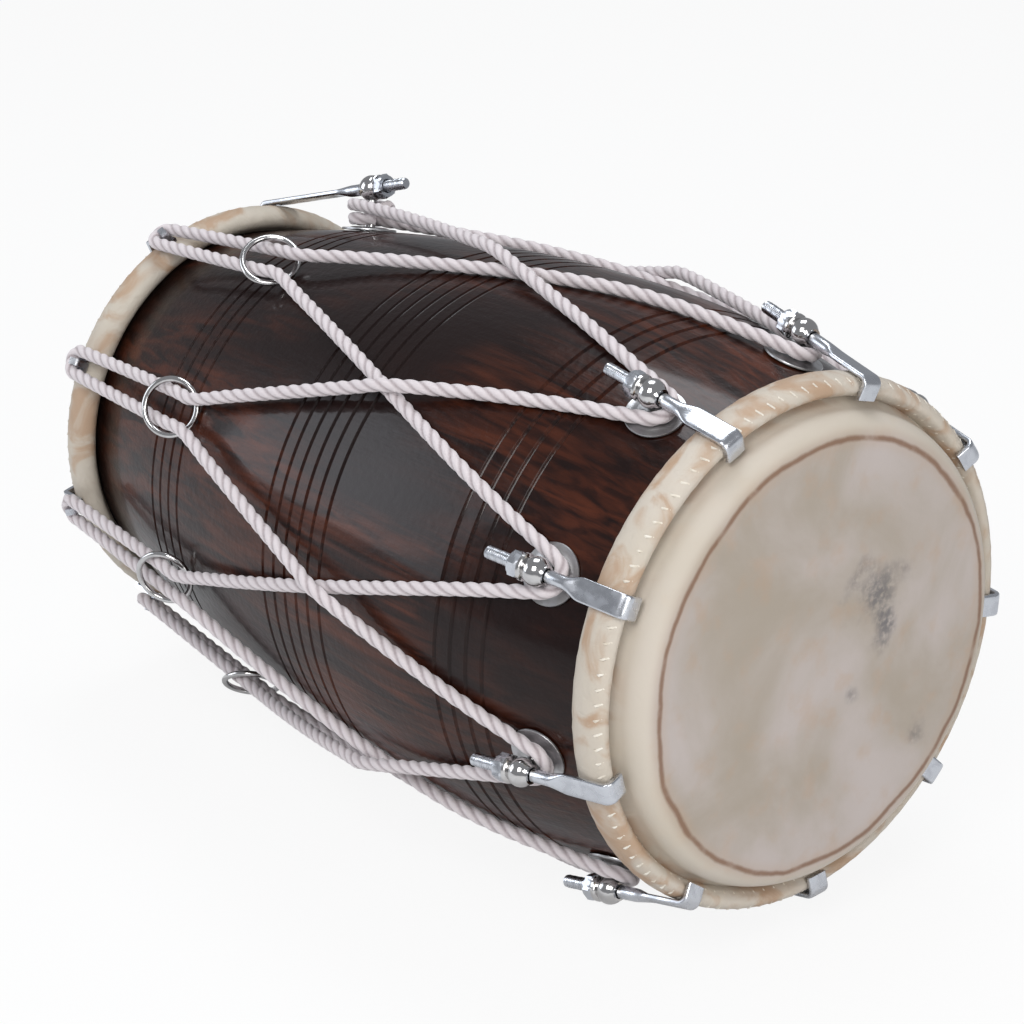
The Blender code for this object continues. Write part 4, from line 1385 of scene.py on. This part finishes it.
# Studio
@dataclass
class Studio:
    """Camera, floor, backdrop and lamps."""

    drum: DrumFrame
    distance: float = 1.4
    azimuth: float = math.radians(49.68)
    elevation: float = math.radians(21.34)
    shift_right: float = -134.64 * MM
    shift_up: float = 62.79 * MM
    lens: float = 113.7

    def camera(self) -> None:
        """Camera where the photograph was taken."""
        cosine, sine = math.cos(self.azimuth), math.sin(self.azimuth)
        level = math.cos(self.elevation)
        back = Vector((sine * level, -cosine * level, math.sin(self.elevation)))
        right = Vector((cosine, sine, 0))
        up = back.cross(right)
        place = back * self.distance + right * self.shift_right + up * self.shift_up
        data = bpy.data.cameras.new("camera")
        data.lens = self.lens
        data.sensor_width = 36
        made = bpy.data.objects.new("camera", data)
        made.matrix_world = self.drum.matrix @ frame_of(right, up, back, place)
        bpy.context.scene.collection.objects.link(made)
        bpy.context.scene.camera = made

    def floor(self) -> None:
        """Wide pale floor that the camera sees as white, with the drum's shadow."""
        shape = Shape()
        half = 6.0
        corners = ((-half, -half), (half, -half), (half, half), (-half, half))
        shape.add([Vector((x, y, 0)) for x, y in corners], [(0, 1, 2, 3)])
        made = shape.piece("floor")
        material = bpy.data.materials.new("pale_floor")
        material.use_nodes = True
        tree = material.node_tree
        tree.nodes.clear()
        path, output = tree.nodes.new("ShaderNodeLightPath"), tree.nodes.new("ShaderNodeOutputMaterial")
        diffuse, glow = tree.nodes.new("ShaderNodeBsdfDiffuse"), tree.nodes.new("ShaderNodeEmission")
        mix, share = tree.nodes.new("ShaderNodeMixShader"), tree.nodes.new("ShaderNodeMath")
        diffuse.inputs["Color"].default_value = (0.8, 0.8, 0.8, 1)
        glow.inputs["Color"].default_value = (1, 1, 1, 1)
        share.operation = "MULTIPLY"
        share.inputs[1].default_value = 0.9
        tree.links.new(path.outputs["Is Camera Ray"], share.inputs[0])
        tree.links.new(share.outputs[0], mix.inputs[0])
        tree.links.new(diffuse.outputs[0], mix.inputs[1])
        tree.links.new(glow.outputs[0], mix.inputs[2])
        tree.links.new(mix.outputs[0], output.inputs[0])
        made.data.materials.append(material)

    def world(self) -> None:
        """White for the camera, soft grey for the light."""
        world = bpy.data.worlds.new("studio")
        world.use_nodes = True
        bpy.context.scene.world = world
        tree = world.node_tree
        ground = tree.nodes["Background"]
        ground.inputs["Color"].default_value = (0.93, 0.95, 1.0, 1)
        path, strength = tree.nodes.new("ShaderNodeLightPath"), tree.nodes.new("ShaderNodeMapRange")
        strength.inputs["To Min"].default_value = 0.34
        strength.inputs["To Max"].default_value = 1.0
        tree.links.new(path.outputs["Is Camera Ray"], strength.inputs["Value"])
        tree.links.new(strength.outputs[0], ground.inputs["Strength"])

    def lamp(
        self, name: str, place: Vector, size: float, power: float, colour: tuple[float, float, float]
    ) -> None:
        """One soft square lamp that looks at the drum.

        Args:
            name: name of the lamp.
            place: where it hangs.
            size: side of the square.
            power: watts.
            colour: its tint.
        """
        data = bpy.data.lights.new(name, "AREA")
        data.size = size
        data.energy = power
        data.color = colour
        made = bpy.data.objects.new(name, data)
        made.location = place
        made.rotation_euler = (Vector((0, 0, 0.13)) - place).to_track_quat("-Z", "Y").to_euler()
        bpy.context.scene.collection.objects.link(made)

    def build(self) -> None:
        """Set the whole studio."""
        bpy.context.scene.view_settings.view_transform = "Standard"
        self.camera()
        self.floor()
        self.world()
        self.lamp("key", Vector((0.9, -1.3, 1.5)), 0.9, 20.0, (1.0, 1.0, 1.0))
        self.lamp("side", Vector((-1.3, -1.2, 0.7)), 1.1, 9.0, (0.88, 0.93, 1.0))
        self.lamp("top", Vector((-0.3, 0.4, 1.7)), 0.8, 12.0, (0.92, 0.96, 1.0))
        self.lamp("front", Vector((1.7, -0.2, 0.6)), 0.9, 9.0, (1.0, 0.99, 0.97))


def main() -> None:
    """Dress the drum and set the studio."""
    logging.basicConfig(level=logging.INFO, format="%(name)s: %(message)s")
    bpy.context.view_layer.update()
    drum = DrumFrame()

    def on_face(y: float, z: float) -> Vector:
        """World point of the bass face."""
        return drum.matrix @ Vector((SKIN + GAP, y * MM, z * MM))

    spots = (
        (on_face(30, 22), 23 * MM, 0.72),
        (on_face(36, 6), 13 * MM, 0.7),
        (on_face(17, -22), 7 * MM, 0.5),
        (on_face(60, -54), 9 * MM, 0.5),
    )
    Body(drum).dress()
    Head(drum, BASS_HOOP, "bass_head", Hide("goat_hide_bass", 98.5 * MM, spots), stitches=112).dress()
    Head(drum, TREBLE_HOOP, "treble_head", Hide("goat_hide_treble", 84 * MM), stitches=98).dress()
    LacingRope(drum).dress()
    Fixings(drum).dress()
    Clips(drum).dress()
    for number in range(1, STATIONS + 1):
        Hook(drum, number, 47.25 * MM - 1.3 * MM).dress()
        Nut(drum, f"hook_nut_{number}").dress()
    Hook(drum, 0, 85.68 * MM - 1.3 * MM).dress()
    Nut(drum, "anchor_nut").dress()
    for number in range(2, STATIONS + 1):
        SlideRing(drum, number).dress()
    Studio(drum).build()


if __name__ == "__main__":
    main()
